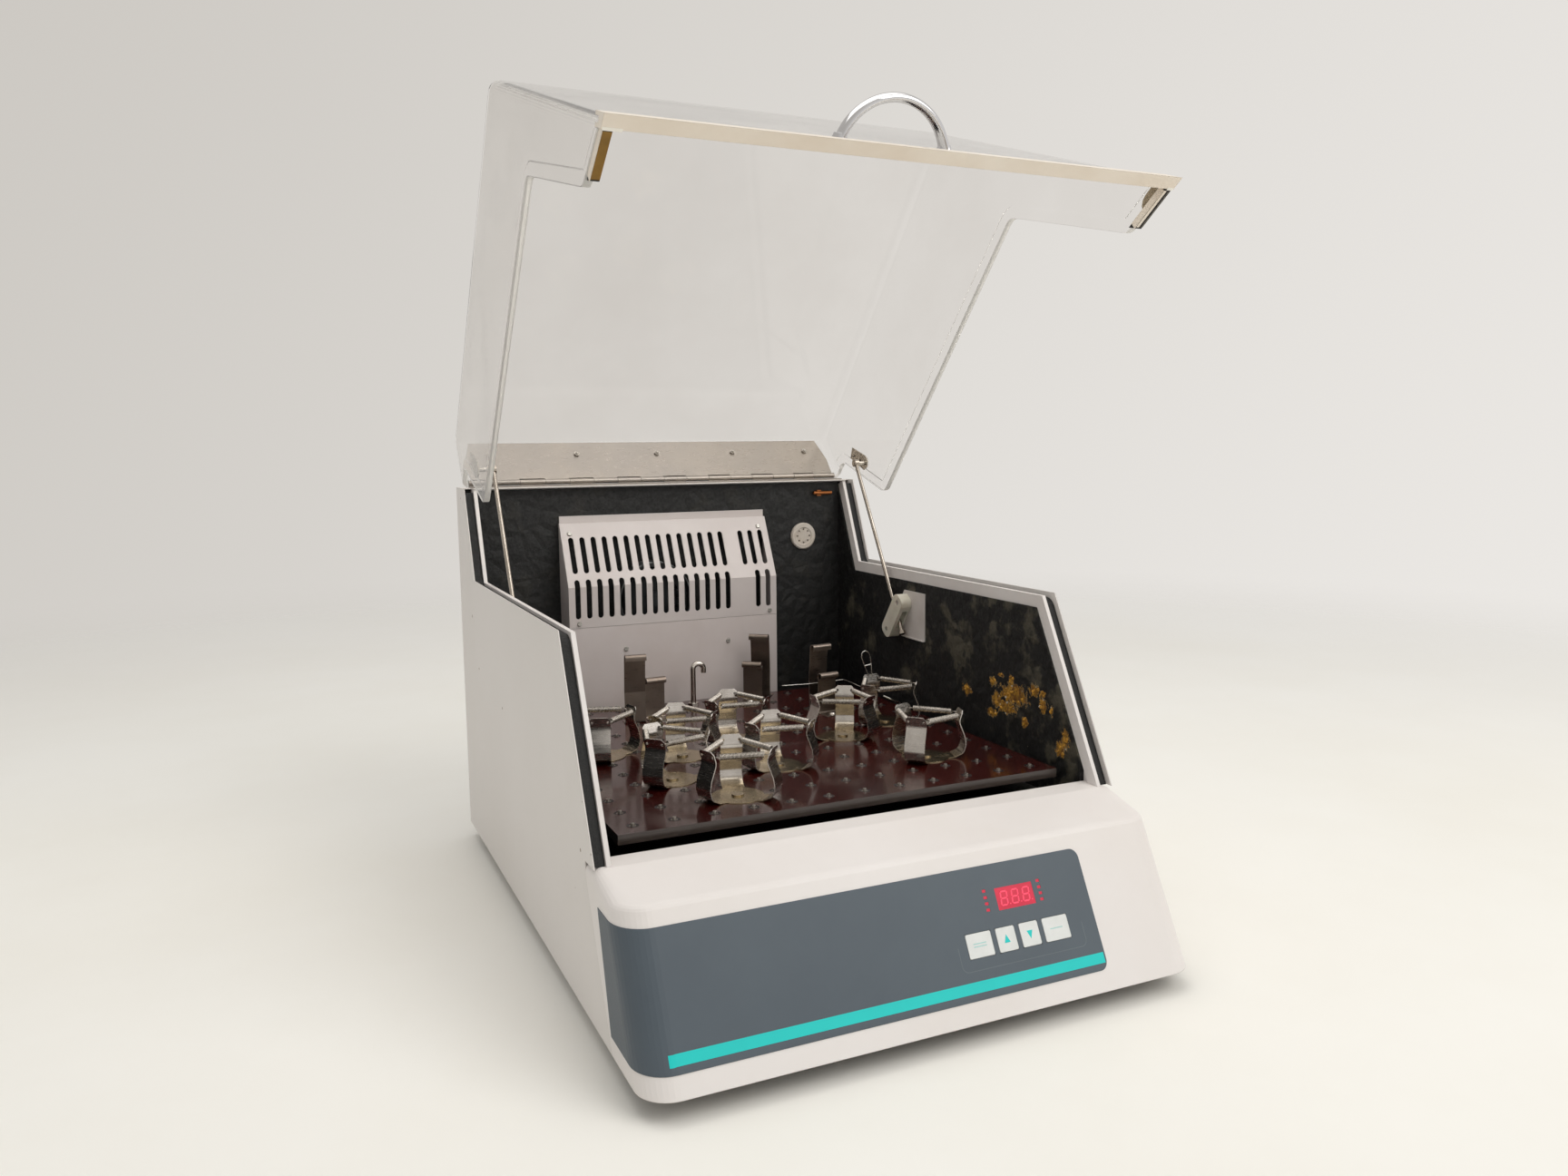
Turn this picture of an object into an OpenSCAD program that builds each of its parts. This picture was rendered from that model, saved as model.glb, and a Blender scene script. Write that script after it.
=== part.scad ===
// Incubated benchtop shaker, drawn with its lid open.
// The origin is on the bench, under the main shaft of the shaking drive.
// +X is the operator's right, +Y is the back, +Z is up. All sizes are millimetres.

/* [Cabinet] */
// Width over the two side panels
cabinet_w = 524; // [518:1:532]
// From the drive axis to the back panel
back_y = 332; // [330:1:340]
// Height of the rear box above the bench
rear_h = 441.5; // [438:0.5:446]
// Depth of the flat top of the rear box
rear_box_d = 52; // [50:1:56]
// How far the steep step behind the side walls leans forward
step_run = 46; // [42:1:50]
// Height of the long side edges above the bench
side_h = 336; // [330:1:342]
// From the drive axis to the top of the sloping front edges
shoulder_y = 165; // [160:1:170]
// How far the sloping front edges run forward
cut_run = 95; // [92:1:98]
// Height of the deck in front of the chamber
deck_h = 155; // [153:0.5:157]
// Height of the cabinet's lower edge above the bench
skirt_h = 18; // [16:1:20]
// Thickness of the steel sheet
sheet = 1.2; // [1:0.1:1.4]

/* [Front bezel] */
// How far the deck slopes forward past its fold
deck_run = 58; // [55:1:61]
// How far the deck drops over that slope
deck_drop = 12.3; // [11:0.1:13.5]
// How far the control panel leans forward to its foot
panel_lean = 65; // [62:1:68]
// Radius of the bezel's upright corners
bezel_corner_r = 28; // [24:1:32]
// Radius of the bezel's top edges
bezel_edge_r = 9; // [7:0.5:11]
// Wall thickness of the moulded bezel
bezel_t = 3; // [2.5:0.1:3.5]

/* [Control panel] */
// Left edge of the row of four keys
key_row_x = 30.5; // [24:0.5:34]
// Widths of the start, up, down and select keys
key_widths = [25, 19, 19, 26.2];
// Gap between neighbouring keys
key_gap = 5.2; // [4:0.1:6]
// Height of the keys
key_h = 20; // [18:0.5:22]
// Travel of a key
key_travel = 0.6; // [0.4:0.1:0.8]
// Width of the display window
window_w = 38.8; // [36:0.2:41]
// Height of the display window
window_h = 18.8; // [17:0.2:20]

/* [Chamber] */
// Gap between the outer panel and the inner wall, where the lid's rim sits
channel_w = 10.4; // [10:0.1:11]
// Depth of that channel below the side edges
channel_d = 16; // [14:0.5:18]
// Thickness of the black foam on the walls
foam_t = 5; // [4:0.5:5.5]
// Height of the chamber floor above the bench
floor_h = 128; // [126:0.5:129]

/* [Platform and drive] */
// Side of the square platform
platform_w = 457.2; // [450:0.2:458]
// Thickness of the platform
platform_t = 9; // [8:0.5:10]
// Height of the platform's top above the bench
platform_h = 165.6; // [164:0.2:168]
// Spacing of the threaded holes in the platform
hole_pitch = 38.1; // [37.4:0.1:38.1]
// Radius of the circle that the platform travels on
orbit_r = 12.7; // [12:0.1:12.9]
// Pitch radius of the driven pulley
driven_r = 60; // [56:1:62]
// Pitch radius of the motor pulley
motor_r = 20; // [18:1:22]
// Distance from the main shaft to the motor
motor_reach = 150; // [146:1:156]

/* [Lid] */
// Angle the lid stands open
lid_open = 48.4; // [44:0.1:49]
// Thickness of the clear acrylic
lid_t = 5; // [4:0.25:5]
// Height of the closed lid at its front fold
lid_front_h = 527; // [520:1:534]
// Height of the closed lid at its rear fold
lid_rear_h = 517; // [512:1:522]
// Radius of the lid's formed edges
lid_edge_r = 12; // [10:0.5:14]
// Width over the lid's side walls
lid_w = 516; // [515:0.5:517]
// Outer width of the handle
handle_w = 112; // [104:1:120]
// Height of the handle off the lid
handle_rise = 40; // [36:1:44]

/* [Flask clamps] */
// Radius of a clamp's round base
clamp_base_r = 29; // [27:0.5:30]
// Height of a clamp above the platform
clamp_h = 50; // [48:0.5:52]
// Width of a clamp's arm
arm_w = 21.5; // [20:0.5:22.5]
// Curls in each coil spring that is drawn as wire
spring_curls = 20; // [16:1:22]

/* [Blower] */
// Width of the white blower cover
cover_w = 278; // [274:1:282]
// Width of one air slot
slot_w = 6.6; // [6:0.1:7.2]
// Distance from one air slot to the next
slot_pitch = 14.15; // [13.8:0.05:14.3]

/* [Hidden] */
$fn = 48;
half_w = cabinet_w / 2;
inner_x = half_w - sheet - channel_w;
liner_x = inner_x - sheet;
foam_x = liner_x - foam_t;
pan_top = skirt_h + 2 * sheet;
key_count = len(key_widths);

// side profile of the cabinet in (y, z), from the rear box down to the deck
box_front_y = back_y - rear_box_d;
deck_fold_y = -shoulder_y - cut_run;
EDGE = [[box_front_y, rear_h], [box_front_y - step_run, side_h],
    [-shoulder_y, side_h], [deck_fold_y, deck_h]];
deck_rear_y = deck_fold_y + 26;
deck_front = [deck_fold_y - deck_run, deck_h - deck_drop];
panel_foot = [deck_front[0] - panel_lean, skirt_h];
panel_len = norm(panel_foot - deck_front);
panel_down = (panel_foot - deck_front) / panel_len;
panel_tilt = atan2(deck_front[1] - panel_foot[1], panel_lean);

// the drive stands on its frame; the platform is drawn at the back of its orbit
frame_t = 6;
frame_top = pan_top + frame_t;
platform_y = orbit_r;
platform_bottom = platform_h - platform_t;
idler_x = 150;
idler_y = 100;
hinge = [back_y - 17, rear_h + 5];
hinge_r = 3.4;
lid_x = lid_w / 2;
rim_d = 5;
seat_gap = 0.3;

// Helpers

function unit(v) = v / norm(v);
function right_of(v) = [v[1], -v[0]];
// where the line through p along u meets the line through q along v
function meet(p, u, q, v) =
  let (d = u[0] * v[1] - u[1] * v[0])
  p + u * (((q[0] - p[0]) * v[1] - (q[1] - p[1]) * v[0]) / d);
// a line of points moved sideways by d with mitred corners
function shifted(p, d) = let (n = len(p)) [for (i = [0:n - 1])
  i == 0 ? p[0] + d * right_of(unit(p[1] - p[0])) :
  i == n - 1 ? p[i] + d * right_of(unit(p[i] - p[i - 1])) :
  let (u = unit(p[i] - p[i - 1]), v = unit(p[i + 1] - p[i]))
  meet(p[i] + d * right_of(u), u, p[i] + d * right_of(v), v)];
// the same points with each inner corner turned into an arc
function arc_corner(a, b, c, r, steps) =
  let (u = unit(a - b), v = unit(c - b), half = acos(u * v) / 2,
    o = b + unit(u + v) * r / sin(half), p = b + u * r / tan(half),
    q = b + v * r / tan(half), a0 = atan2(p[1] - o[1], p[0] - o[0]),
    turn = atan2(q[1] - o[1], q[0] - o[0]) - a0,
    da = turn > 180 ? turn - 360 : turn < -180 ? turn + 360 : turn)
  [for (i = [0:steps]) o + r * [cos(a0 + da * i / steps), sin(a0 + da * i / steps)]];
function softened(p, r, steps = 6) = [for (i = [0:len(p) - 1])
  each i == 0 || i == len(p) - 1 ? [p[i]]
    : arc_corner(p[i - 1], p[i], p[i + 1], r, steps)];
function reversed(p) = [for (i = [len(p) - 1:-1:0]) p[i]];
function band(p, d0, d1) = concat(shifted(p, -d0), reversed(shifted(p, -d1)));

// a (y, z) outline drawn out along X
module along_x(x0, x1) {
  translate([x0, 0, 0])
    rotate([90, 0, 90])
      linear_extrude(x1 - x0)
        children();
}

module mirrored_x() {
  children();
  mirror([1, 0, 0])
    children();
}

// a block from one corner to the other
module block(a, b) {
  translate(a)
    cube(b - a);
}

// local axes on the control panel: x across, y up the panel, z out of it
module on_panel(x, s, lift = 0) {
  translate([x, deck_front[0] + s * panel_down[0], deck_front[1] + s * panel_down[1]])
    rotate([panel_tilt, 0, 0])
      translate([0, 0, lift])
        children();
}

// what the lid carries is drawn closed and swung open about the hinge
module swung_open() {
  translate([0, hinge[0], hinge[1]])
    rotate([-lid_open, 0, 0])
      translate([0, -hinge[0], -hinge[1]])
        children();
}

module ring(r, hole_r, h) {
  difference() {
    cylinder(r = r, h = h);
    translate([0, 0, -1])
      cylinder(r = hole_r, h = h + 2);
  }
}

// a rectangle with round corners, centred
module rounded(w, d, r) {
  square([w - 2 * r, d], center = true);
  square([w, d - 2 * r], center = true);
  for (x = [-1, 1] * (w / 2 - r), y = [-1, 1] * (d / 2 - r))
    translate([x, y])
      circle(r = r, $fn = 24);
}

module round_bar(w, d, h, r) {
  linear_extrude(h)
    rounded(w, d, r);
}

// Cabinet

seam_top = [deck_rear_y, deck_h - 12];
seam_foot = [deck_rear_y - panel_lean * (deck_h - 12 - skirt_h)
      / (deck_front[1] - skirt_h), skirt_h];

module side_outline() {
  polygon(concat([[back_y, skirt_h], [back_y, rear_h]], EDGE,
         [[deck_rear_y, deck_h], seam_top, seam_foot]));
}

module side_panel() {
  along_x(half_w - sheet, half_w)
    side_outline();
  block([half_w - 18, seam_foot[0] + 2, skirt_h],
     [half_w - sheet, back_y - sheet, skirt_h + sheet]);
}

module left_side_panel() {
  color("whitesmoke")
    mirror([1, 0, 0])
      side_panel();
}

module right_side_panel() {
  color("whitesmoke")
    side_panel();
}

louvre_rows = 2;
louvre_count = 9;
inlet_x = 172;
inlet_z = 62;
inlet_w = 48;
inlet_h = 58;

module rear_cover() {
  color("whitesmoke")
    difference() {
      union() {
        block([-half_w + sheet, back_y - sheet, skirt_h],
           [half_w - sheet, back_y, rear_h]);
        block([-half_w + sheet, box_front_y, rear_h - sheet],
           [half_w - sheet, back_y - sheet, rear_h]);
      }
      mirrored_x()
        block([inner_x, box_front_y - 1, rear_h - 9],
           [half_w, box_front_y + 13, rear_h + 1]);
      for (row = [0:louvre_rows - 1], i = [0:louvre_count - 1])
        translate([-150 + i * 14, back_y - 5, 60 + row * 50])
          cube([6, 10, 36]);
      block([inlet_x - inlet_w / 2, back_y - 5, inlet_z - inlet_h / 2],
         [inlet_x + inlet_w / 2, back_y + 5, inlet_z + inlet_h / 2]);
    }
}

module base_pan() {
  color("silver")
    difference() {
      block([-half_w + 2, seam_foot[0] + 2, skirt_h + sheet],
         [half_w - 2, back_y - sheet, pan_top]);
      for (i = [0:7], side = [-1, 1])
        translate([side * 215 - 10, -110 + i * 20, skirt_h])
          cube([20, 8, 10]);
    }
}

foot_r = 14;
foot_x = half_w - foot_r - 8;
foot_front_y = -270;
foot_back_y = back_y - 50;

module rubber_feet() {
  color("dimgray")
    for (x = [-foot_x, foot_x], y = [foot_front_y, foot_back_y])
      translate([x, y, 0])
        difference() {
          cylinder(r1 = foot_r - 2, r2 = foot_r, h = skirt_h);
          translate([0, 0, -1])
            cylinder(r = 5, h = 7);
        }
}

// Front bezel and control panel

// the bezel's outer form, drawn in by t on every side
module bezel_form(t) {
  edge_r = bezel_edge_r - t;
  corner_in = bezel_corner_r - bezel_edge_r;
  x = half_w - bezel_corner_r;
  edge_in = bezel_edge_r * tan((90 + panel_tilt - atan(deck_drop / deck_run) - 90) / 2);
  hull() {
    for (side = [-1, 1]) {
      translate([side * x, deck_front[0] + corner_in + edge_in + 1.5,
           deck_front[1] - bezel_edge_r + 1.2])
        rotate_extrude($fn = 40)
          translate([corner_in, 0])
            circle(r = edge_r, $fn = 24);
      translate([side * x, panel_foot[0] + bezel_corner_r, skirt_h - 4])
        cylinder(r = bezel_corner_r - t, h = 4, $fn = 40);
      translate([side * (half_w - bezel_edge_r), deck_fold_y + 2, deck_h - bezel_edge_r])
        rotate([-90, 0, 0])
          cylinder(r = edge_r, h = deck_rear_y + 20 - deck_fold_y, $fn = 24);
      translate([side * (half_w - t - 1) - 1, deck_rear_y + 10, skirt_h - 4])
        cube([2, 10, 60]);
    }
  }
}

module bezel_zone() {
  along_x(-half_w - 5, half_w + 5)
    polygon([[panel_foot[0] - 30, skirt_h], seam_foot, seam_top,
        [deck_rear_y, deck_h + 5], [panel_foot[0] - 30, deck_h + 5]]);
}

function key_x(i) = i == 0 ? key_row_x : key_x(i - 1) + key_widths[i - 1] + key_gap;
key_s = 80;
window_x = 89.3;
window_s = 46.8;
led_x = [59.3, 115.6];
led_s = [37.9, 43.4, 48.6, 53.9];
led_w = 3.6;
led_h = 2.6;

// everything that passes through the panel, grown by g
module panel_cutters(g) {
  for (i = [0:key_count - 1])
    on_panel(key_x(i) - g, key_s + key_h / 2 + g, -12)
      cube([key_widths[i] + 2 * g, key_h + 2 * g, 24]);
  on_panel(window_x - window_w / 2, window_s + window_h / 2, -12)
    cube([window_w, window_h, 24]);
  for (x = led_x, s = led_s)
    on_panel(x - led_w / 2, s + led_h / 2, -12)
      cube([led_w, led_h, 24]);
}

module front_bezel() {
  color("whitesmoke")
    difference() {
      intersection() {
        bezel_form(0);
        bezel_zone();
      }
      bezel_form(bezel_t);
      panel_cutters(seat_gap);
    }
}

overlay_t = 0.5;
overlay_x1 = 165;
overlay_top_z = 128.3;
overlay_foot_z = 34;
overlay_wrap = 55;

// the slate skin lies on the bezel and wraps round its left corner
module control_overlay() {
  r = 8;
  color("darkslategray")
    difference() {
      intersection() {
        bezel_form(-overlay_t);
        rotate([90, 0, 0])
          translate([0, 0, -deck_fold_y - 60])
            linear_extrude(240)
              polygon(concat([[-half_w - 5, overlay_top_z]],
                arc_corner([-half_w, overlay_top_z],
                  [overlay_x1, overlay_top_z],
                  [overlay_x1, overlay_foot_z], r, 6),
                arc_corner([overlay_x1, overlay_top_z],
                  [overlay_x1, overlay_foot_z],
                  [-half_w, overlay_foot_z], r, 6),
                [[-half_w - 5, overlay_foot_z]]));
        along_x(-half_w - 5, half_w)
          polygon([[panel_foot[0] - 20, 0],
              [panel_foot[0] + 10 + overlay_wrap + 8, 0],
              [deck_front[0] + overlay_wrap - 2, deck_front[1]],
              [panel_foot[0] - 20, deck_front[1]]]);
      }
      bezel_form(0);
      panel_cutters(seat_gap);
    }
}

module display_window() {
  color("crimson")
    on_panel(window_x - window_w / 2, window_s + window_h / 2, -2)
      cube([window_w, window_h, 2 + overlay_t]);
}

board_lift = -11;
cap_depth = 6;

module key_cap(i) {
  w = key_widths[i];
  color("white")
    on_panel(key_x(i) + w / 2, key_s, 0) {
      translate([0, 0, -cap_depth + 1])
        round_bar(w, key_h, cap_depth - 0.1, 1.5);
      translate([0, 0, board_lift + 1.6 + key_travel + 0.1])
        cylinder(r = 2.5, h = -board_lift - cap_depth - key_travel - 0.7);
    }
}

module key_start_stop() {
  key_cap(0);
}

module key_up() {
  key_cap(1);
}

module key_down() {
  key_cap(2);
}

module key_select() {
  key_cap(3);
}

board_x0 = 16;
board_x1 = 152;
board_s0 = 32;
board_s1 = 98;

module display_board() {
  color("darkgreen") {
    on_panel(board_x0, board_s1, board_lift)
      cube([board_x1 - board_x0, board_s1 - board_s0, 1.6]);
    on_panel(window_x - window_w / 2 + 1, window_s + window_h / 2 - 1, board_lift + 1.6)
      cube([window_w - 2, window_h - 2, -2 - board_lift - 1.6]);
    for (x = [board_x0 + 4, board_x1 - 4], s = [board_s0 + 4, board_s1 - 4])
      on_panel(x, s, board_lift + 1.6)
        cylinder(r = 2.5, h = -board_lift - 1.6 - bezel_t, $fn = 24);
  }
  // the eight lamps stand on the board and show through the panel
  color("firebrick")
    for (x = led_x, s = led_s)
      on_panel(x - led_w / 2 + 0.1, s + led_h / 2 - 0.1, board_lift + 1.6)
        cube([led_w - 0.2, led_h - 0.2, overlay_t - board_lift - 1.6]);
}

ctrl_w = 200;
ctrl_d = 120;
ctrl_y = deck_rear_y - 50;
ctrl_x = -60;
post_h = 10;

module control_board() {
  color("darkgreen")
    translate([ctrl_x, ctrl_y, pan_top]) {
      translate([-ctrl_w / 2, -15, post_h])
        cube([ctrl_w, ctrl_d / 2 + 15, 1.6]);
      for (x = [-1, 1] * (ctrl_w / 2 - 8), y = [0, ctrl_d / 2 - 8])
        translate([x, y, 0])
          cylinder(r = 3, h = post_h, $fn = 24);
      for (i = [0:2])
        translate([-20 + i * 36, 8, post_h + 1.6])
          cube([24, 22, 7]);
      translate([-92, -10, post_h + 1.6])
        cube([54, 52, 40]);
      for (x = [-26, -8])
        translate([x, 46, post_h + 1.6])
          cylinder(r = 6, h = 22, $fn = 24);
    }
}

module power_inlet() {
  color("dimgray")
    difference() {
      union() {
        block([inlet_x - inlet_w / 2, back_y - 24, inlet_z - inlet_h / 2],
           [inlet_x + inlet_w / 2, back_y, inlet_z + inlet_h / 2]);
        block([inlet_x - inlet_w / 2 - 5, back_y, inlet_z - inlet_h / 2 - 4],
           [inlet_x + inlet_w / 2 + 5, back_y + 2.5, inlet_z + inlet_h / 2 + 4]);
      }
      block([inlet_x - 13, back_y - 15, inlet_z - 24],
         [inlet_x + 13, back_y + 5, inlet_z - 6]);
      block([inlet_x - 15.3, back_y - 12, inlet_z + 5.7],
        [inlet_x + 15.3, back_y + 5, inlet_z + 24.3]);
      translate([inlet_x - 16.5, rocker_y, rocker_z])
        rotate([0, 90, 0])
          cylinder(r = 1.55, h = 33, $fn = 24);
    }
  color("silver")
    for (x = [-6, 0, 6])
      translate([inlet_x + x - 1, back_y - 15, inlet_z - 17 + (x == 0 ? 4 : 0)])
        cube([2, 12, 4]);
}

rocker_y = back_y - 4;
rocker_z = inlet_z + 15;

function around_rocker(r, a) = [rocker_y + r * cos(a), rocker_z + r * sin(a)];

// the rocker is a shallow V that tips about its trunnions; its lower half is pressed
module power_rocker() {
  tip = 14;
  color("darkslategray") {
    along_x(inlet_x - 15, inlet_x + 15)
      polygon([for (p = [[5.8, -tip / 2], [10.5, 46], [9.1, 75], [9.1, 110], [7.6, 157],
                         [7.6, -171], [9.1, -124], [9.1, -89], [10.5, -60]])
               around_rocker(p[0], p[1])]);
    translate([inlet_x - 16.2, rocker_y, rocker_z])
      rotate([0, 90, 0])
        cylinder(r = 1.5, h = 32.4, $fn = 24);
  }
}

// Chamber

function edge_at(d) = shifted(EDGE, -d);
liner_top = rear_h - sheet;
foam_y = back_y - 40;
back_sheet_y = foam_y + foam_t;
trim_h = 13;
floor_top = floor_h + sheet;

module under_roof(z0) {
  intersection() {
    children();
    polygon([[deck_fold_y - 20, z0], [back_y, z0], [back_y, liner_top],
        [deck_fold_y - 20, liner_top]]);
  }
}

module liner_outline(d) {
  polygon(concat(edge_at(d), [[deck_rear_y, deck_h], [deck_rear_y, floor_h],
                [back_sheet_y + sheet, floor_h],
                [back_sheet_y + sheet, rear_h]]));
}

module chamber_liner() {
  color("gainsboro") {
    mirrored_x() {
      along_x(liner_x, inner_x)
        intersection() {
          liner_outline(2.5);
          polygon([[deck_fold_y - 20, deck_h], [deck_rear_y, deck_h],
              [deck_rear_y, floor_h], [back_y, floor_h],
              [back_y, liner_top], [deck_fold_y - 20, liner_top]]);
        }
      along_x(inner_x, half_w - sheet)
        under_roof(deck_h)
          polygon(band(EDGE, channel_d, channel_d + sheet));
      along_x(liner_x - 3, liner_x)
        under_roof(deck_h)
          polygon(band(EDGE, 2.5, 2.5 + trim_h));
    }
    difference() {
      block([-liner_x, back_sheet_y, floor_h],
         [liner_x, back_sheet_y + sheet, liner_top]);
      translate([fan_x, back_sheet_y - 1, fan_z])
        rotate([-90, 0, 0])
          cylinder(r = 6, h = 4);
    }
    block([-liner_x, deck_rear_y, floor_h],
       [liner_x, deck_rear_y + sheet, deck_h - 0.5]);
  }
}

module wall_insulation() {
  low = floor_top;
  color("black") {
    mirrored_x()
      along_x(foam_x, liner_x)
        intersection() {
          polygon(concat(edge_at(2.5 + trim_h),
                 [[deck_rear_y + sheet, low], [foam_y + foam_t, low],
                  [foam_y + foam_t, rear_h]]));
          polygon([[deck_rear_y + sheet, low], [foam_y + foam_t, low],
              [foam_y + foam_t, liner_top - 2],
              [deck_rear_y + sheet, liner_top - 2]]);
        }
    difference() {
      block([-foam_x, foam_y, low], [foam_x, back_sheet_y, liner_top - 2]);
      translate([vent_x, foam_y - 1, vent_z])
        rotate([-90, 0, 0])
          cylinder(r = 14, h = foam_t + 2);
      translate([fan_x, foam_y - 1, fan_z])
        rotate([-90, 0, 0])
          cylinder(r = 6, h = foam_t + 2);
    }
  }
}

shaft_hole_r = 26;

module chamber_floor() {
  color("silver")
    difference() {
      block([-liner_x, deck_rear_y + sheet, floor_h],
         [liner_x, back_sheet_y, floor_top]);
      for (p = SHAFTS)
        translate([p[0], p[1], floor_h - 1])
          cylinder(r = shaft_hole_r, h = 5);
    }
}

strip_w = channel_w - 1.2;

// the strips wait just under the rim of the closed lid
module channel_weatherstrips() {
  top = rim_d + seat_gap + 0.2;
  line = [EDGE[0] + 3 * unit(EDGE[1] - EDGE[0]), EDGE[1], EDGE[2], EDGE[3]];
  color("dimgray")
    mirrored_x()
      along_x(inner_x + 0.6, inner_x + 0.6 + strip_w)
        under_roof(deck_h)
          polygon(concat(softened(shifted(line, -top), 14, 4),
                 reversed(shifted(line, -channel_d))));
}

// Blower on the back wall

cover_x = -8;
cover_top = 404;
cover_step_z = 395;
cover_bend = [250, 319];
cover_seam_z = 268.3;
cover_crown = [287, cover_step_z];
slot_len = 48;
slant_len = norm(cover_bend - cover_crown);
slant_dir = (cover_bend - cover_crown) / slant_len;

// the folded sheet of the cover in (y, z), moved inward by d
module cover_outline(d) {
  polygon([[foam_y, cover_seam_z], [cover_bend[0] + d, cover_seam_z],
      [cover_bend[0] + d, cover_bend[1] - d * 0.2],
      [cover_crown[0] + d, cover_crown[1] - d * 0.6], [foam_y, cover_crown[1] - d]]);
}

module cover_slots() {
  for (i = [0:18]) {
    x = cover_x - cover_w / 2 + 11.5 + i * slot_pitch;
    if (i != 15)
      air_slot(x, 19);
    if (i < 15 || i > 16)
      air_slot(x, 75);
  }
}

// one slot with round ends, cut square to the wall, s down the slant
module air_slot(x, s) {
  top = cover_crown + slant_dir * s;
  drop = s < slant_len - slot_len ? slot_len * -slant_dir[1] : slot_len;
  translate([x, cover_bend[0] - 20, top[1]])
    rotate([-90, 0, 0])
      linear_extrude(70) {
        translate([0, slot_w / 2])
          circle(d = slot_w, $fn = 16);
        translate([0, drop - slot_w / 2])
          circle(d = slot_w, $fn = 16);
        translate([-slot_w / 2, slot_w / 2])
          square([slot_w, drop - slot_w]);
      }
}

module blower_cover() {
  x0 = cover_x - cover_w / 2;
  x1 = cover_x + cover_w / 2;
  color("gainsboro")
    difference() {
      union() {
        along_x(x0, x1)
          cover_outline(0);
        block([x0 + 1, foam_y - 2, cover_step_z - 4], [x1 - 1, foam_y, cover_top]);
      }
      difference() {
        along_x(x0 + sheet, x1 - sheet)
          translate([0, -1])
            cover_outline(sheet);
        block([x0, foam_y - 2, cover_step_z - 4], [x1, foam_y, cover_top]);
      }
      block([x0 - 1, foam_y - 1, cover_seam_z - 5],
         [x1 + 1, foam_y + 5, cover_step_z - 5]);
      cover_slots();
    }
}

module blower_lower_panel() {
  x0 = cover_x - cover_w / 2;
  x1 = cover_x + cover_w / 2;
  color("gainsboro")
    difference() {
      block([x0, cover_bend[0], floor_top], [x1, foam_y, cover_seam_z - 0.3]);
      block([x0 + sheet, cover_bend[0] + sheet, floor_top - 1],
         [x1 - sheet, foam_y + 1, cover_seam_z + 1]);
    }
}

fan_x = -30;
fan_z = 296;
fan_r = 40;
fan_y = 262;
fan_w = 20;

// a scroll plate behind the wheel, with an inlet ring before it
module blower_housing() {
  color("silver") {
    translate([fan_x, foam_y, fan_z])
      rotate([90, 0, 0])
        difference() {
          union() {
            cylinder(r = fan_r + 8, h = 2);
            ring(fan_r + 8, fan_r + 6.5, foam_y - fan_y - 4);
          }
          translate([0, 0, -1])
            cylinder(r = 6, h = 4);
          translate([-fan_r, -fan_r - 12, 2])
            cube([fan_r * 2, 20, 60]);
        }
  }
}

module blower_impeller() {
  blades = 18;
  color("dimgray")
    translate([fan_x, fan_y + fan_w, fan_z])
      rotate([90, 0, 0]) {
        cylinder(r = fan_r, h = 1.5);
        cylinder(r = 9, h = 14);
        translate([0, 0, fan_y + fan_w - back_sheet_y - sheet - 14])
          cylinder(r = 3, h = 20);
        translate([0, 0, fan_w - 2])
          ring(fan_r, fan_r - 9, 2);
        for (i = [0:blades - 1])
          rotate([0, 0, i * 360 / blades])
            translate([fan_r - 8, 0, 1])
              rotate([0, 0, 35])
                translate([-1, -0.6, 0])
                  cube([7, 1.2, fan_w - 2]);
      }
}

module blower_motor() {
  color("dimgray") {
    translate([fan_x, back_sheet_y + sheet, fan_z])
      rotate([-90, 0, 0])
        difference() {
          union() {
            cylinder(r = 27, h = 24);
            translate([-34, -34, 0])
              cube([68, 68, 12]);
          }
          translate([0, 0, -1])
            cylinder(r = 3 + fit, h = 17);
        }
  }
}

heater_r = 4;
heater_z = [170, 200, 230];
heater_x0 = -110;
heater_x1 = 30;
heater_y = 272;

// three straight runs joined by half rings, held by two clips on the wall
module heater_element() {
  color("silver") {
    for (z = heater_z)
      translate([heater_x0, heater_y, z])
        rotate([0, 90, 0])
          cylinder(r = heater_r, h = heater_x1 - heater_x0, $fn = 24);
    for (i = [0:1])
      translate([i == 0 ? heater_x1 : heater_x0, heater_y,
           (heater_z[i] + heater_z[i + 1]) / 2])
        rotate([90, 0, 0])
          intersection() {
            rotate_extrude($fn = 32)
              translate([15, 0])
                circle(r = heater_r, $fn = 24);
            translate([i == 0 ? 0 : -25, -25, -6])
              cube([25, 50, 12]);
          }
    for (x = [heater_x0 + 15, heater_x1 - 15])
      difference() {
        block([x - 4, heater_y - 6, heater_z[0] - 8],
           [x + 4, foam_y, heater_z[2] + 8]);
        for (z = heater_z)
          translate([x - 5, heater_y, z])
            rotate([0, 90, 0])
              cylinder(r = heater_r, h = 10, $fn = 24);
      }
  }
}

probe_x = 205;
probe_z = 424;

module temperature_probe() {
  color("peru")
    translate([probe_x, foam_y - 4, probe_z])
      rotate([0, 90, 0]) {
        cylinder(r = 2.5, h = 27);
        translate([-4, -1, 5])
          cube([8, 5, 6]);
      }
}

vent_x = 190;
vent_z = 366;
vent_r = 18;

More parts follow.
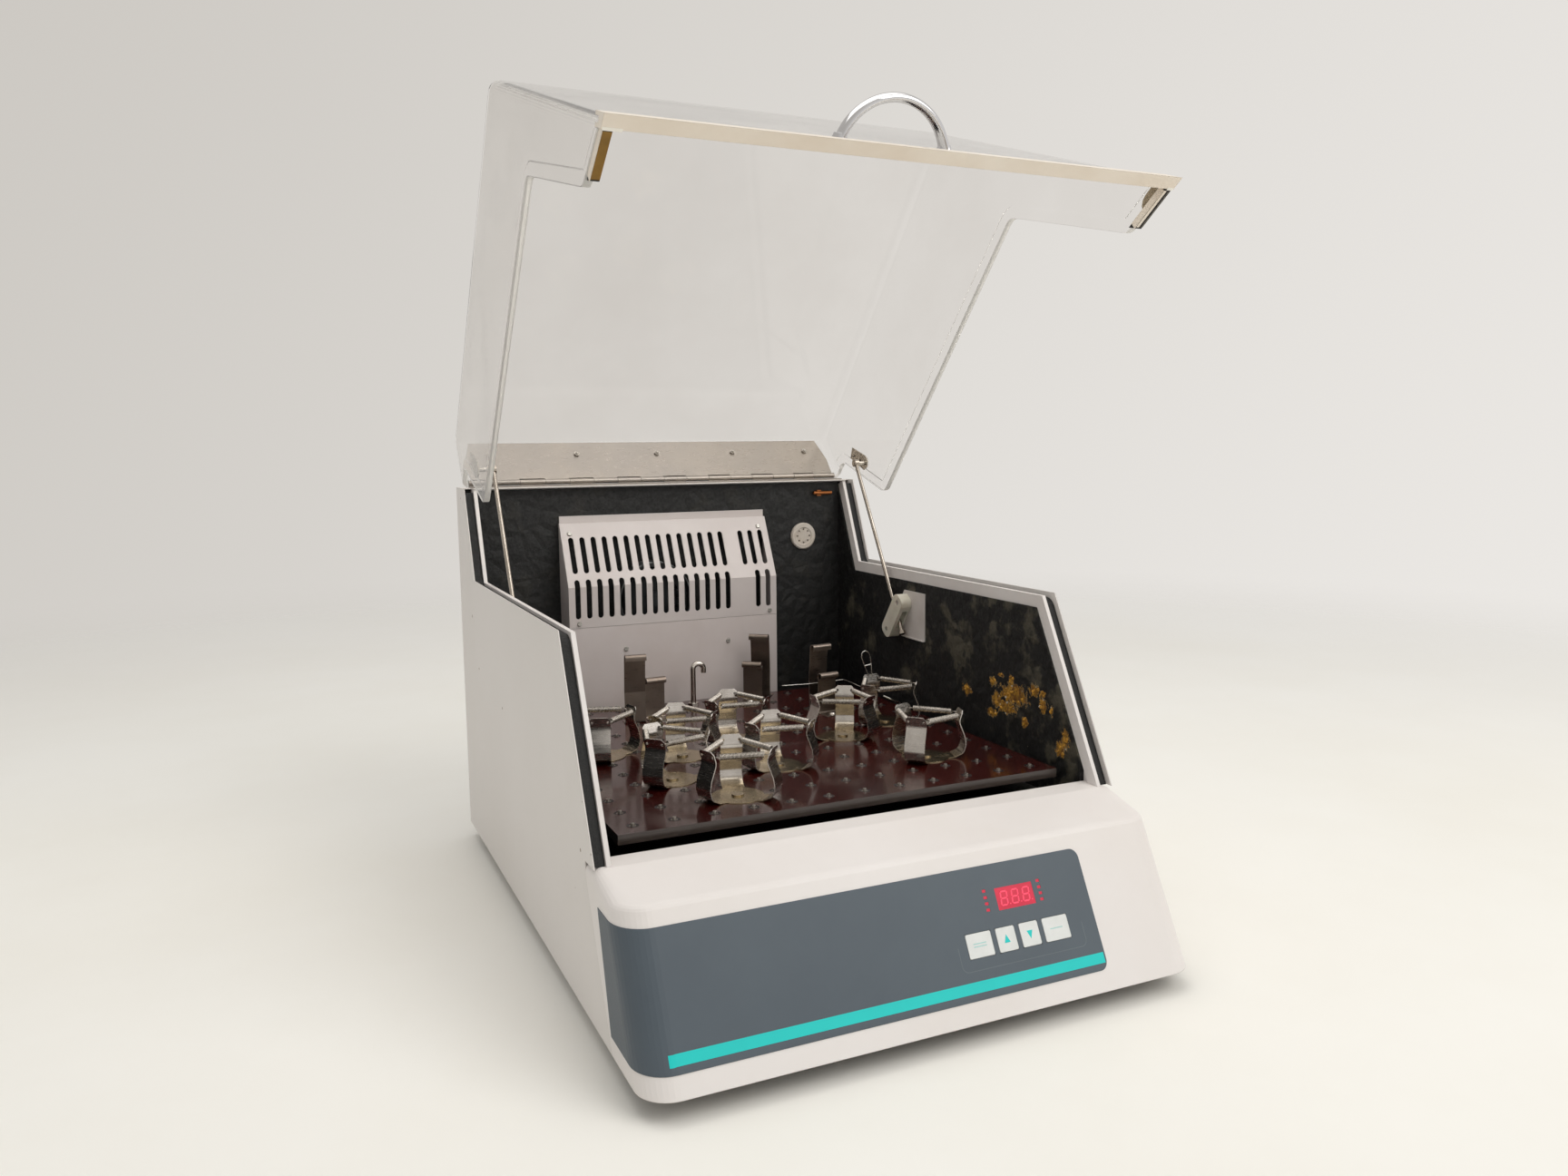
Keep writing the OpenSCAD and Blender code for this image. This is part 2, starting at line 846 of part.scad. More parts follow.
module vent_plug() {
  color("whitesmoke")
    translate([vent_x, foam_y, vent_z])
      rotate([90, 0, 0])
        difference() {
          union() {
            rotate_extrude()
              polygon([[0, 0], [vent_r, 0], [vent_r, 2.5], [vent_r - 1.5, 4],
                  [12, 4], [11, 3], [0, 3]]);
            translate([0, 0, -foam_t])
              cylinder(r = 14, h = foam_t);
          }
          for (i = [0:7])
            rotate([0, 0, i * 45])
              translate([9, 0, -8])
                cylinder(r = 1.2, h = 20, $fn = 16);
        }
}

// Shaking drive

SHAFTS = [[0, 0], [-idler_x, idler_y], [idler_x, idler_y]];
main_tower_h = 84;
idler_tower_h = 112;
journal_r = 10;
idler_journal_r = 8;
bearing_h = 14;
bearing_r = 23.5;
idler_bearing_r = 20;
pin_r = 7.5;
pin_top = platform_bottom - 3;
web_top = 124;
fit = 0.03;
bearing_low = frame_top + 4;

module tower(r, top, bore_r) {
  difference() {
    union() {
      translate([0, 0, frame_top])
        cylinder(r = r, h = top - frame_top);
      for (a = [0, 90, 180, 270])
        rotate([0, 0, a + 45])
          rotate([90, 0, 0])
            translate([0, 0, -3])
              linear_extrude(6)
                polygon([[r - 1, frame_top], [r + 16, frame_top],
                    [r - 1, frame_top + 34]]);
    }
    translate([0, 0, bearing_low])
      cylinder(r = bore_r, h = bearing_h);
    translate([0, 0, bearing_low - 1])
      cylinder(r = bore_r - 5, h = top);
    translate([0, 0, top - bearing_h])
      cylinder(r = bore_r, h = bearing_h + 1);
    translate([0, 0, bearing_low - 20])
      cylinder(r = bore_r, h = 20 + bearing_h);
  }
}

module drive_frame() {
  color("gray")
    difference() {
      union() {
        block([-184, -212, pan_top], [184, 150, frame_top]);
        tower(bearing_r + 7, main_tower_h, bearing_r);
        for (i = [1, 2])
          translate([SHAFTS[i][0], SHAFTS[i][1], 0])
            tower(idler_bearing_r + 6, idler_tower_h, idler_bearing_r);
      }
      cylinder(r = bearing_r, h = frame_top + 1);
      for (i = [1, 2])
        translate([SHAFTS[i][0], SHAFTS[i][1], 0])
          cylinder(r = idler_bearing_r, h = frame_top + 1);
      for (x = [-110, 110], y = [-140, -50])
        translate([x, y, 0])
          cylinder(r = 22, h = 60);
    }
}

module bearing(r, hole_r, h) {
  difference() {
    ring(r, hole_r, h);
    for (z = [-1, h - 0.8])
      translate([0, 0, z])
        ring(r - 3, hole_r + 3, 1.8);
  }
}

module shaft_bearings() {
  color("silver") {
    for (z = [bearing_low, main_tower_h - bearing_h])
      translate([0, 0, z])
        bearing(bearing_r, journal_r + fit, bearing_h);
    for (i = [1, 2], z = [bearing_low, idler_tower_h - bearing_h])
      translate([SHAFTS[i][0], SHAFTS[i][1], z])
        bearing(idler_bearing_r, idler_journal_r + fit, bearing_h);
  }
}

module main_crankshaft() {
  color("lightgray") {
    translate([0, 0, bearing_low - 2])
      cylinder(r = journal_r, h = web_top - 8 - bearing_low + 2);
    translate([0, 0, web_top - 8])
      cylinder(r = orbit_r + 11, h = 8);
    translate([0, platform_y, web_top])
      cylinder(r = pin_r, h = pin_top - web_top);
    translate([0, 0, main_tower_h + seat_gap])
      cylinder(r = journal_r + 4, h = 1.7);
  }
}

pulley_z = main_tower_h + 2;
pulley_h = 16;
weight_z = pulley_z + pulley_h;
weight_h = web_top - 8 - weight_z;

module driven_pulley() {
  color("silver")
    difference() {
      translate([0, 0, pulley_z])
        rotate_extrude($fn = 96)
          polygon([[journal_r, 0], [driven_r + 3, 0], [driven_r + 3, 2],
              [driven_r, 2], [driven_r, 14], [driven_r + 3, 14],
              [driven_r + 3, 16], [driven_r - 8, 16], [driven_r - 8, 7],
              [18, 7], [18, 16], [journal_r, 16]]);
      for (i = [0:4])
        rotate([0, 0, i * 72])
          translate([35, 0, pulley_z - 1])
            cylinder(r = 10, h = 10);
    }
}

// half a disc that balances the load on the crank
module counterweight() {
  color("dimgray")
    translate([0, 0, weight_z])
      difference() {
        union() {
          intersection() {
            cylinder(r = 92, h = weight_h, $fn = 96);
            translate([-92, -92, 0])
              cube([184, 74, weight_h]);
          }
          cylinder(r = 24, h = weight_h);
        }
        translate([0, 0, -1])
          cylinder(r = journal_r, h = weight_h + 2);
      }
}

belt_t = 2.4;
belt_gap = 0.2;

function belt_arc(y, r, from, to, steps) =
  [for (i = [0:steps])
    let(a = from + (to - from) * i / steps) [r * cos(a), y + r * sin(a)]];

module belt_loop(g) {
  slope = asin((driven_r - motor_r) / motor_reach);
  polygon(concat(
    belt_arc(0, driven_r + g, -slope, 180 + slope, 48),
    belt_arc(-motor_reach, motor_r + g, 180 + slope, 360 - slope, 24)));
}

module drive_belt() {
  color("black")
    translate([0, 0, pulley_z + 3])
      linear_extrude(10)
        difference() {
          belt_loop(belt_gap + belt_t);
          belt_loop(belt_gap);
        }
}

motor_shaft_r = 5;

module drive_motor() {
  color("dimgray")
    translate([0, -motor_reach, 0]) {
      difference() {
        union() {
          translate([0, 0, frame_top])
            cylinder(r = 38, h = 48);
          translate([0, 0, frame_top + 48])
            cylinder(r = 14, h = 4);
        }
        translate([0, 0, frame_top + 30])
          cylinder(r = motor_shaft_r + fit, h = 30);
      }
      for (i = [0:11])
        rotate([0, 0, i * 30])
          translate([37, -1, frame_top + 6])
            cube([4, 2, 36]);
    }
}

module motor_pulley() {
  color("silver")
    translate([0, -motor_reach, 0]) {
      translate([0, 0, frame_top + 30.3])
        cylinder(r = motor_shaft_r, h = pulley_z + pulley_h - frame_top - 30.3);
      translate([0, 0, pulley_z])
        rotate_extrude()
          polygon([[motor_shaft_r, 0], [motor_r + 3, 0], [motor_r + 3, 2],
              [motor_r, 2], [motor_r, 14], [motor_r + 3, 14],
              [motor_r + 3, 16], [motor_shaft_r, 16]]);
    }
}

module idler_crank(i) {
  color("lightgray")
    translate([SHAFTS[i][0], SHAFTS[i][1], 0]) {
      translate([0, 0, bearing_low - 2])
        cylinder(r = idler_journal_r, h = web_top - 9.5 - bearing_low + 2);
      translate([0, 0, idler_tower_h + seat_gap])
        cylinder(r = idler_journal_r + 4, h = 2.4);
      translate([0, 0, web_top - 9.5])
        cylinder(r = orbit_r + 10, h = 9.5);
      translate([0, platform_y, web_top])
        cylinder(r = pin_r, h = pin_top - web_top);
    }
}

module idler_crank_left() {
  idler_crank(1);
}

module idler_crank_right() {
  idler_crank(2);
}

carrier_t = 8;
boss_low = 139;
boss_r = 20;
pocket_r = 16;
SCREW_SPOTS = [for (i = [-4.5, 4.5], j = [-4.5, 4.5]) [i * hole_pitch, j * hole_pitch]];

module carrier_plate() {
  color("silver")
    translate([0, platform_y, 0])
      difference() {
        union() {
          block([-186, -186, platform_bottom - carrier_t],
             [186, 186, platform_bottom]);
          for (p = SHAFTS)
            translate([p[0], p[1], boss_low])
              cylinder(r = boss_r, h = platform_bottom - boss_low - 1);
          for (i = [1, 2])
            rib_between(SHAFTS[0], SHAFTS[i]);
          rib_between(SHAFTS[1], SHAFTS[2]);
        }
        for (p = SHAFTS)
          translate([p[0], p[1], boss_low - 1])
            cylinder(r = pocket_r, h = platform_bottom - boss_low - 2);
        for (p = SCREW_SPOTS)
          translate([p[0], p[1], 100])
            cylinder(r = 2.5, h = 100);
      }
}

module rib_between(a, b) {
  d = b - a;
  translate([a[0], a[1], boss_low + 4])
    rotate([0, 0, atan2(d[1], d[0])])
      translate([boss_r - 2, -3, 0])
        cube([norm(d) - 2 * boss_r + 4, 6, platform_bottom - boss_low - 5]);
}

module carrier_bearings() {
  color("lightgray")
    for (p = SHAFTS)
      translate([p[0], p[1] + platform_y, boss_low])
        bearing(pocket_r, pin_r + fit, platform_bottom - boss_low - 3);
}

insert_r = 3.2;
hole_count = 12;

function hole_at(i) = (i - (hole_count - 1) / 2) * hole_pitch;

module platform() {
  color("maroon")
    translate([0, platform_y, platform_bottom])
      difference() {
        translate([-platform_w / 2, -platform_w / 2, 0])
          cube([platform_w, platform_w, platform_t]);
        for (i = [0:hole_count - 1], j = [0:hole_count - 1])
          translate([hole_at(i), hole_at(j), -1])
            cylinder(r = insert_r, h = platform_t + 2, $fn = 16);
        for (p = SCREW_SPOTS)
          translate([p[0], p[1], platform_t - 3])
            cylinder(r = 5, h = 4);
        for (p = SCREW_SPOTS)
          translate([p[0], p[1], -1])
            cylinder(r = 2.5, h = 20);
      }
}

module platform_screws() {
  color("silver")
    for (c = CLIPS)
      translate([c[0], c[1], platform_h])
        rotate([0, 0, c[2]])
          translate([0, c[3] ? 9.5 : -13, 0]) {
            cylinder(r = 2.5, h = 1);
            translate([0, 0, 1])
              cylinder(r1 = 4.5, r2 = 3, h = 2);
          }
    for (p = SCREW_SPOTS)
      translate([p[0], p[1] + platform_y, 0]) {
        translate([0, 0, platform_h - 3])
          difference() {
            cylinder(r = 4.6, h = 2.6);
            translate([0, 0, 1.4])
              cylinder(r = 2, h = 3, $fn = 6);
          }
        translate([0, 0, platform_bottom - carrier_t])
          cylinder(r = 2.5, h = carrier_t + platform_t - 3);
      }
}

// Flask clamps, springs and clips on the platform

// column and row of each clamp's hole, with the turn of its arms
CLAMPS = [[3, 1, 77], [2, 3, 104], [5, 3, 78], [9, 2, 102], [3, 5, 81],
     [8, 5, 59], [1, 6, 12], [5, 6, 81], [10, 6, 88]];
strip_t = 0.8;
top_r = 34;
belly_r = clamp_base_r + 12;

module at_clamp(c) {
  translate([hole_at(c[0]), platform_y + hole_at(c[1]), platform_h])
    rotate([0, 0, c[2]])
      children();
}

// radius and height of the bent strip, from the dished base up to its leaning tab
tab_lean = 3.2;
tab_h = 9.5;
ARM = [[clamp_base_r - 8, 0], [clamp_base_r, 0.6], [belly_r - 2.5, 5],
   [belly_r, 14], [belly_r - 1.5, 23], [top_r, clamp_h - tab_h - 3.5],
   [top_r, clamp_h - tab_h], [top_r + tab_lean, clamp_h]];
ARM_LINE = softened(ARM, 7, 3);

module arm() {
  difference() {
    rotate([90, 0, 0])
      translate([0, 0, -arm_w / 2])
        linear_extrude(arm_w)
          polygon(concat(ARM_LINE, reversed(shifted(ARM_LINE, -strip_t))));
    for (side = [-1, 1]) {
      translate([top_r - 3, side * eye_x, girdle_z])
        rotate([0, 90, 0])
          cylinder(r = 1.35, h = 9, $fn = 16);
      translate([top_r, side * arm_w / 2, clamp_h])
        rotate([45, 0, 0])
          cube([16, 4, 4], center = true);
    }
  }
}

module clamp_body() {
  cylinder(r = clamp_base_r - 4, h = strip_t);
  cylinder(r = 6, h = 2.4);
  for (a = [0, 120, 240])
    rotate([0, 0, a])
      arm();
}

module flask_clamps() {
  color("lightgray")
    for (c = CLAMPS)
      at_clamp(c)
        clamp_body();
}

wire_r = 0.45;
coil_r = 2.75;
curl_steps = 8;
wire_sides = 6;

// one spring's wire: the middle of the tube at each step along the curls
function coil_path(curls, len) = [for (i = [0:curls * curl_steps])
  let (a = i * 360 / curl_steps)
  [coil_r * cos(a), coil_r * sin(a), len * i / (curls * curl_steps)]];
WIRE_SIDE = [0.52, 0.36, 0.77];
function wire_ring(p, along, n) = let (side = unit(cross(along, WIRE_SIDE)),
  up = cross(side, along)) [for (k = [0:n - 1])
  p + wire_r * (side * cos(k * 360 / n) + up * sin(k * 360 / n))];

module wire_tube(path, n) {
  last = len(path) - 1;
  rings = [for (i = [0:last])
    let (along = unit(path[min(i + 1, last)] - path[max(i - 1, 0)]))
    each wire_ring(path[i], along, n)];
  polyhedron(points = rings, faces = concat(
    [[for (k = [0:n - 1]) n - 1 - k]],
    [for (i = [0:last - 1], k = [0:n - 1]) each
      let (a = i * n + k, b = i * n + (k + 1) % n)
      [[a, b, b + n], [a, b + n, a + n]]],
    [[for (k = [0:n - 1]) last * n + k]]));
}

girdle_z = clamp_h - 5;
tab_mid = top_r + tab_lean * (1 - 5 / tab_h) - strip_t / 2;
eye_x = arm_w / 2 - 2.8;
hook_len = 7;
// a hole of the tab at 0 degrees, seen from the spring at 60 degrees
hook_r_at = tab_mid * cos(60) + eye_x * sin(60);
hook_reach = tab_mid * sin(60) - eye_x * cos(60) + 1.4;
spring_len = 2 * (hook_reach - hook_len);
spring_pitch = spring_len / spring_curls;
echo(least_gap_between_curls = spring_pitch - 2 * wire_r);

// the wire leaves the last curl for the middle and goes straight into the tab's hole
function coil_wire() = let (body = coil_path(spring_curls, spring_len),
  last = body[len(body) - 1])
  concat([[0, 0, -hook_len], [0, 0, -1.6], [coil_r * 0.5, 0, -0.9]],
     [for (p = body) p],
     [[last[0] * 0.5, last[1] * 0.5, spring_len + 0.9],
      [0, 0, spring_len + 1.6], [0, 0, spring_len + hook_len]]);

// the springs run from tab to tab and close the clamp's three arms
module girdle(as_wire) {
  for (a = [60, 180, 300])
    rotate([0, 0, a])
      translate([hook_r_at, 0, girdle_z])
        rotate([90, 0, 0])
          translate([0, 0, -spring_len / 2])
            if (as_wire)
              wire_tube(coil_wire(), wire_sides);
            else
              plain_spring();
}

module plain_spring() {
  cylinder(r = coil_r + wire_r, h = spring_len, $fn = 24);
  translate([0, 0, -hook_len])
    cylinder(r = wire_r, h = spring_len + 2 * hook_len, $fn = 12);
}

module clamp_springs() {
  color("silver")
    for (i = [0:len(CLAMPS) - 1])
      at_clamp(CLAMPS[i])
        girdle(i == 0);
}

// an upright strip on a foot: the tall kind ends in a hook, the short one in a roll
module upright(tall) {
  h = tall ? 82 : 52;
  t = 1;
  LINE = tall ? [[16, 0], [0, 0], [2, h * 0.45], [-2, h], [-9, h], [-9, h - 6]]
              : [[-22, 0], [0, 0], [0, h - 6]];
  difference() {
    rotate([90, 0, 90])
      translate([0, 0, -clip_w / 2])
        linear_extrude(clip_w)
          difference() {
            union() {
              polygon(concat(softened(LINE, 2.4, 4),
                             reversed(shifted(softened(LINE, 2.4, 4), tall ? t : -t))));
              if (!tall)
                translate([-3.5, h - 6])
                  circle(r = 4.5, $fn = 32);
            }
            if (!tall)
              translate([-3.5, h - 6])
                circle(r = 3.5, $fn = 32);
            if (!tall)
              translate([-7, h - 12])
                square([5, 5]);
          }
    translate([0, tall ? 9.5 : -13, -1])
      cylinder(r = 2.6, h = 5, $fn = 24);
  }
}

clip_w = 25;

// place and turn of each upright, and whether it is the tall kind
CLIPS = [[-95, 156, -6, true], [-66, 172, 4, false], [94, 221, -38, true],
         [78, 208, -38, false], [128, 120, 6, true], [131, 104, 6, false]];

module rack_clips() {
  color("darkgray")
    for (c = CLIPS)
      translate([c[0], c[1], platform_h])
        rotate([0, 0, c[2]])
          upright(c[3]);
}

hook_h = 46;
hook_r = 3.5;

module hook_rod() {
  color("silver")
    translate([-2, 212, platform_h]) {
      cylinder(r = hook_r, h = hook_h);
      cylinder(r = 7, h = 4, $fn = 6);
      translate([7, 0, hook_h])
        rotate([90, 0, 0])
          intersection() {
            rotate_extrude($fn = 40)
              translate([7, 0])
                circle(r = hook_r, $fn = 24);
            translate([-20, 0, -10])
              cube([40, 20, 20]);
          }
      translate([14, 0, hook_h - 5])
        cylinder(r = hook_r, h = 5);
    }
}

// Hinge

knuckles = 16;
leaf_w = lid_w - 16;
knuckle_w = leaf_w / knuckles;
pin_hole_r = 1.65;
leaf_t = 1.5;
LID_BACK = unit([-10, lid_rear_h - hinge[1]]);

module knuckle_row(first) {
  for (i = [first:2:knuckles - 1])
    translate([-leaf_w / 2 + i * knuckle_w + 0.2, hinge[0], hinge[1]])
      rotate([0, 90, 0])
        difference() {
          cylinder(r = hinge_r, h = knuckle_w - 0.4, $fn = 32);
          translate([0, 0, -1])
            cylinder(r = pin_hole_r, h = knuckle_w + 2, $fn = 32);
        }
}

module knuckle_gaps(first) {
  for (i = [first:2:knuckles - 1])
    translate([-leaf_w / 2 + i * knuckle_w - 0.2, hinge[0] - hinge_r - 0.5,
         hinge[1] - hinge_r - 0.6])
      cube([knuckle_w + 0.4, 2 * hinge_r + 1, 2 * hinge_r + 1.2]);
}

module hinge_body_leaf() {
  color("lightgray")
    difference() {
      union() {
        knuckle_row(0);
        difference() {
          union() {
            block([-leaf_w / 2, hinge[0] - 24, rear_h],
               [leaf_w / 2, hinge[0] + 2, rear_h + leaf_t]);
            block([-leaf_w / 2, hinge[0] - 2, rear_h + leaf_t],
               [leaf_w / 2, hinge[0] + 2, hinge[1] - 1]);
          }
          knuckle_gaps(1);
        }
      }
      translate([-leaf_w / 2 - 1, hinge[0], hinge[1]])
        rotate([0, 90, 0])
          cylinder(r = pin_hole_r, h = leaf_w + 2, $fn = 32);
    }
}

// the wide stainless leaf stands against the inside of the lid's back wall
leaf_h = lid_rear_h - hinge[1] - 9;
leaf_side = leaf_w / 2 - 3;

module hinge_lid_leaf() {
  front = hinge + [-1.6, 0];
  color("silver")
    swung_open()
      difference() {
        union() {
          knuckle_row(1);
          difference() {
            intersection() {
              along_x(-leaf_w / 2, leaf_w / 2)
                polygon([front, front + leaf_h * LID_BACK,
                    front + leaf_h * LID_BACK + [leaf_t, 0],
                    front + [leaf_t, 0]]);
              translate([0, back_y, 0])
                rotate([90, 0, 0])
                  linear_extrude(60)
                    polygon([[-leaf_side, 0],
                        [-leaf_side, hinge[1] + leaf_h * 0.45],
                        [-leaf_side + 9, hinge[1] + leaf_h + 1],
                        [leaf_side - 9, hinge[1] + leaf_h + 1],
                        [leaf_side, hinge[1] + leaf_h * 0.45],
                        [leaf_side, 0]]);
            }
            knuckle_gaps(0);
          }
        }
        translate([-leaf_w / 2 - 1, hinge[0], hinge[1]])
          rotate([0, 90, 0])
            cylinder(r = pin_hole_r, h = leaf_w + 2, $fn = 32);
        for (x = LEAF_SCREWS)
          leaf_screw_at(x)
            translate([0, 0, -5])
              cylinder(r = 2, h = 20, $fn = 24);
      }
}

leaf_screw_pitch = (leaf_w - 68) / 4;
LEAF_SCREWS = [for (i = [-2:2]) i * leaf_screw_pitch];
leaf_lean = atan2(-LID_BACK[0], LID_BACK[1]);

// local z points forward, out of the leaf's face
module leaf_screw_at(x) {
  base = hinge + [-1.6, 0] + (leaf_h - 19.5) * LID_BACK;
  translate([x, base[0], base[1]])
    rotate([90 + leaf_lean, 0, 0])
      children();
}

module hinge_pin() {
  color("gray")
    translate([-leaf_w / 2, hinge[0], hinge[1]])
      rotate([0, 90, 0])
        cylinder(r = pin_hole_r - 0.05, h = leaf_w, $fn = 32);
}

// Lid, drawn closed

lid_foot_gap = 7;
DECK_DIR = unit(deck_front - EDGE[3]);
rim_raw = shifted(EDGE, -rim_d);
foot_line = EDGE[3] + lid_foot_gap * right_of(DECK_DIR);
seat_line = EDGE[3] + seat_gap * right_of(DECK_DIR);
cut_dir = unit(EDGE[3] - EDGE[2]);
RIM_E = meet(rim_raw[2], cut_dir, foot_line, DECK_DIR);
lid_foot_y = deck_front[0] + 6;
LID_FOOT = foot_line + DECK_DIR * ((lid_foot_y - foot_line[0]) / DECK_DIR[0]);
RIM_B = meet(rim_raw[1], unit(rim_raw[0] - rim_raw[1]), [0, rear_h + 1.6], [1, 0]);
RIM = [[back_y + 20, rear_h + 3.4], [hinge[0] - 12, rear_h + 2.4], RIM_B, rim_raw[1],
   rim_raw[2], RIM_E, LID_FOOT, LID_FOOT - [90, 0]];
FRONT_FOLD = [lid_foot_y + 160, lid_front_h];
REAR_FOLD = [hinge[0] - 10, lid_rear_h];
front_dir = unit(FRONT_FOLD - LID_FOOT);
front_out = [-front_dir[1], front_dir[0]];
panel_end = 4;

// the room that the lid encloses, walls drawn in by t
module lid_form(t) {
  r = lid_edge_r - t;
  top_dir = unit(REAR_FOLD - FRONT_FOLD);
  back_foot = hinge + [leaf_t + lid_t - 1.44, 0];
  back_dir = LID_BACK;
  low_front = LID_FOOT - front_dir * 60;
  low_back = back_foot - back_dir * 140;
  fold_f = meet(FRONT_FOLD - top_normal(top_dir) * lid_edge_r, top_dir,
         LID_FOOT - front_out * lid_edge_r, front_dir);
  fold_b = meet(REAR_FOLD - top_normal(top_dir) * lid_edge_r, top_dir,
         back_foot - [lid_edge_r, 0], back_dir);
  feet = [low_front - front_out * lid_edge_r, low_back - [lid_edge_r, 0]];
  hull() {
    for (p = [fold_f, fold_b, feet[0], feet[1]], side = [-1, 1])
      translate([side * (lid_x - lid_edge_r), p[0], p[1]])
        sphere(r = r, $fn = 28);
  }
}

function top_normal(v) = [-v[1], v[0]];

RIM_SOFT = softened(RIM, 14, 4);

module rim_zone(d) {
  line = d == 0 ? RIM_SOFT : shifted(RIM_SOFT, d);
  polygon(concat(line, [[line[len(line) - 1][0], 700], [back_y + 60, 700],
             [back_y + 60, line[0][1]]]));
}

// the lower edge of the front sheet is taken off level, with its corners a little higher
module front_sheet_cut(rise, depth) {
  top = LID_FOOT + front_dir * rise;
  polygon([top - front_out * depth, top + front_out * 30,
      LID_FOOT - front_dir * 60 + front_out * 30,
      LID_FOOT - front_dir * 60 - front_out * depth]);
}

module lid_shell() {
  color("lightcyan")
    swung_open()
      difference() {
        union() {
          difference() {
            intersection() {
              lid_form(0);
              along_x(-lid_x, lid_x)
                rim_zone(0);
            }
            lid_form(lid_t);
          }
          mirrored_x()
            along_x(lid_x - lid_t - 1.5, lid_x - lid_t + 0.5)
              difference() {
                rim_zone(0);
                rim_zone(12.5);
                translate([back_y - 34, 0])
                  square([120, 800]);
                translate([-600, 0])
                  square([600 + LID_FOOT[0] + 13, 800]);
              }
        }
        along_x(-lid_x - 1, lid_x + 1)
          front_sheet_cut(panel_end, 20);
        mirrored_x()
          along_x(lid_x - lid_edge_r - 1, lid_x + 1)
            front_sheet_cut(panel_end + grip_h, lid_t + trim_wall);
        for (x = LEAF_SCREWS)
          leaf_screw_at(x)
            translate([0, 0, -12])
              cylinder(r = 2, h = 20, $fn = 24);
        block([-leaf_w / 2 - 1, hinge[0] - 8, hinge[1] - 9],
           [leaf_w / 2 + 1, hinge[0] + 12, hinge[1] + 4.4]);
      }
}

trim_wall = 3;
grip_h = 8;

// the trim's profile grips the front sheet; its underside lies level on the deck
module trim_profile() {
  base = LID_FOOT + front_dir * panel_end;
  inner = base - front_out * (lid_t + trim_wall);
  outer = base + front_out * trim_wall;
  groove = base - front_out * (lid_t + 0.06);
  grip = front_dir * grip_h;
  polygon([inner + grip, meet(inner, front_dir, seat_line, DECK_DIR),
      meet(outer, front_dir, seat_line, DECK_DIR), outer + grip,
      base + grip, base, groove, groove + grip]);
}

module lid_front_trim() {
  color("antiquewhite")
    swung_open()
      along_x(-lid_x, lid_x)
        trim_profile();
}

// black foam under the short level return of each side wall
module lid_gasket() {
  inner = LID_FOOT - front_out * (lid_t + trim_wall + 0.1);
  slope = EDGE[3] + right_of(cut_dir) * 0.4;
  color("black")
    swung_open()
      mirrored_x()
        along_x(lid_x - lid_t - 4, lid_x - 2)
          polygon([meet(inner, front_dir, foot_line, DECK_DIR),
              meet(slope, cut_dir, foot_line, DECK_DIR),
              meet(slope, cut_dir, seat_line, DECK_DIR),
              meet(inner, front_dir, seat_line, DECK_DIR)]);
}

handle_at = 46;
handle_bar_r = 4;
handle_foot_r = 7;

// local x across, y up the lid's front sheet, z out of it
module on_lid_front(s) {
  p = LID_FOOT + front_dir * s;
  translate([0, p[0], p[1]])
    rotate([atan2(front_dir[1], front_dir[0]), 0, 0])
      children();
}

module lid_handle() {
  span = handle_w - 2 * handle_foot_r;
  sag = handle_rise - handle_bar_r;
  arc_r = (span * span / 4 + sag * sag) / (2 * sag);
  half_angle = asin(span / 2 / arc_r);
  color("silver")
    swung_open()
      on_lid_front(handle_at) {
        difference() {
          translate([0, 0, sag - arc_r])
            rotate([90, 0, 0])
              rotate([0, 0, 90 - half_angle])
                rotate_extrude(angle = 2 * half_angle, $fn = 96)
                  translate([arc_r, 0])
                    scale([1, 1.6])
                      circle(r = handle_bar_r, $fn = 24);
          block([-handle_w, -20, -40], [handle_w, 20, 0.02]);
        }
        for (x = [-1, 1] * span / 2)
          translate([x, 0, 0.02])
            cylinder(r1 = handle_foot_r, r2 = handle_foot_r - 2, h = 5);
      }
}

module lid_screws() {
  span = handle_w - 2 * handle_foot_r;
  color("silver")
    swung_open() {
      for (x = LEAF_SCREWS)
        leaf_screw_at(x) {
          cylinder(r = 3.6, h = 2.4, $fn = 6);
          translate([0, 0, 2.4])
            sphere(r = 2.2, $fn = 20);
          translate([0, 0, -leaf_t - lid_t - 0.4])
            cylinder(r = 1.9, h = leaf_t + lid_t + 1);
          translate([0, 0, -leaf_t - lid_t - 2.6])
            cylinder(r = 4, h = 2);
        }
      for (x = [-1, 1] * span / 2)
        on_lid_front(handle_at)
          translate([x, 0, -lid_t - 2.4])
            cylinder(r = 4, h = 2.3);
    }
}

// Lid stays

stay_x = foam_x - 7.7;
STUD = hinge - [73.6, 55];
// where the rod passes the middle of its guide
GUIDE = [112.6, 272.6];
rod_r = 2.4;

// the lid's stud with the lid open
function opened(p) = let (r = p - hinge, c = cos(lid_open), s = sin(lid_open))
  hinge + [c * r[0] + s * r[1], -s * r[0] + c * r[1]];
STUD_OPEN = opened(STUD);
rod_dir = unit(GUIDE - STUD_OPEN);
rod_angle = atan2(rod_dir[1], rod_dir[0]);
rod_len = norm(GUIDE - STUD_OPEN) + 17;
clip_x = lid_x - lid_t - 1.5;
clip_t = 1.5;
ball_r = 5;
stud_r = 2.5;

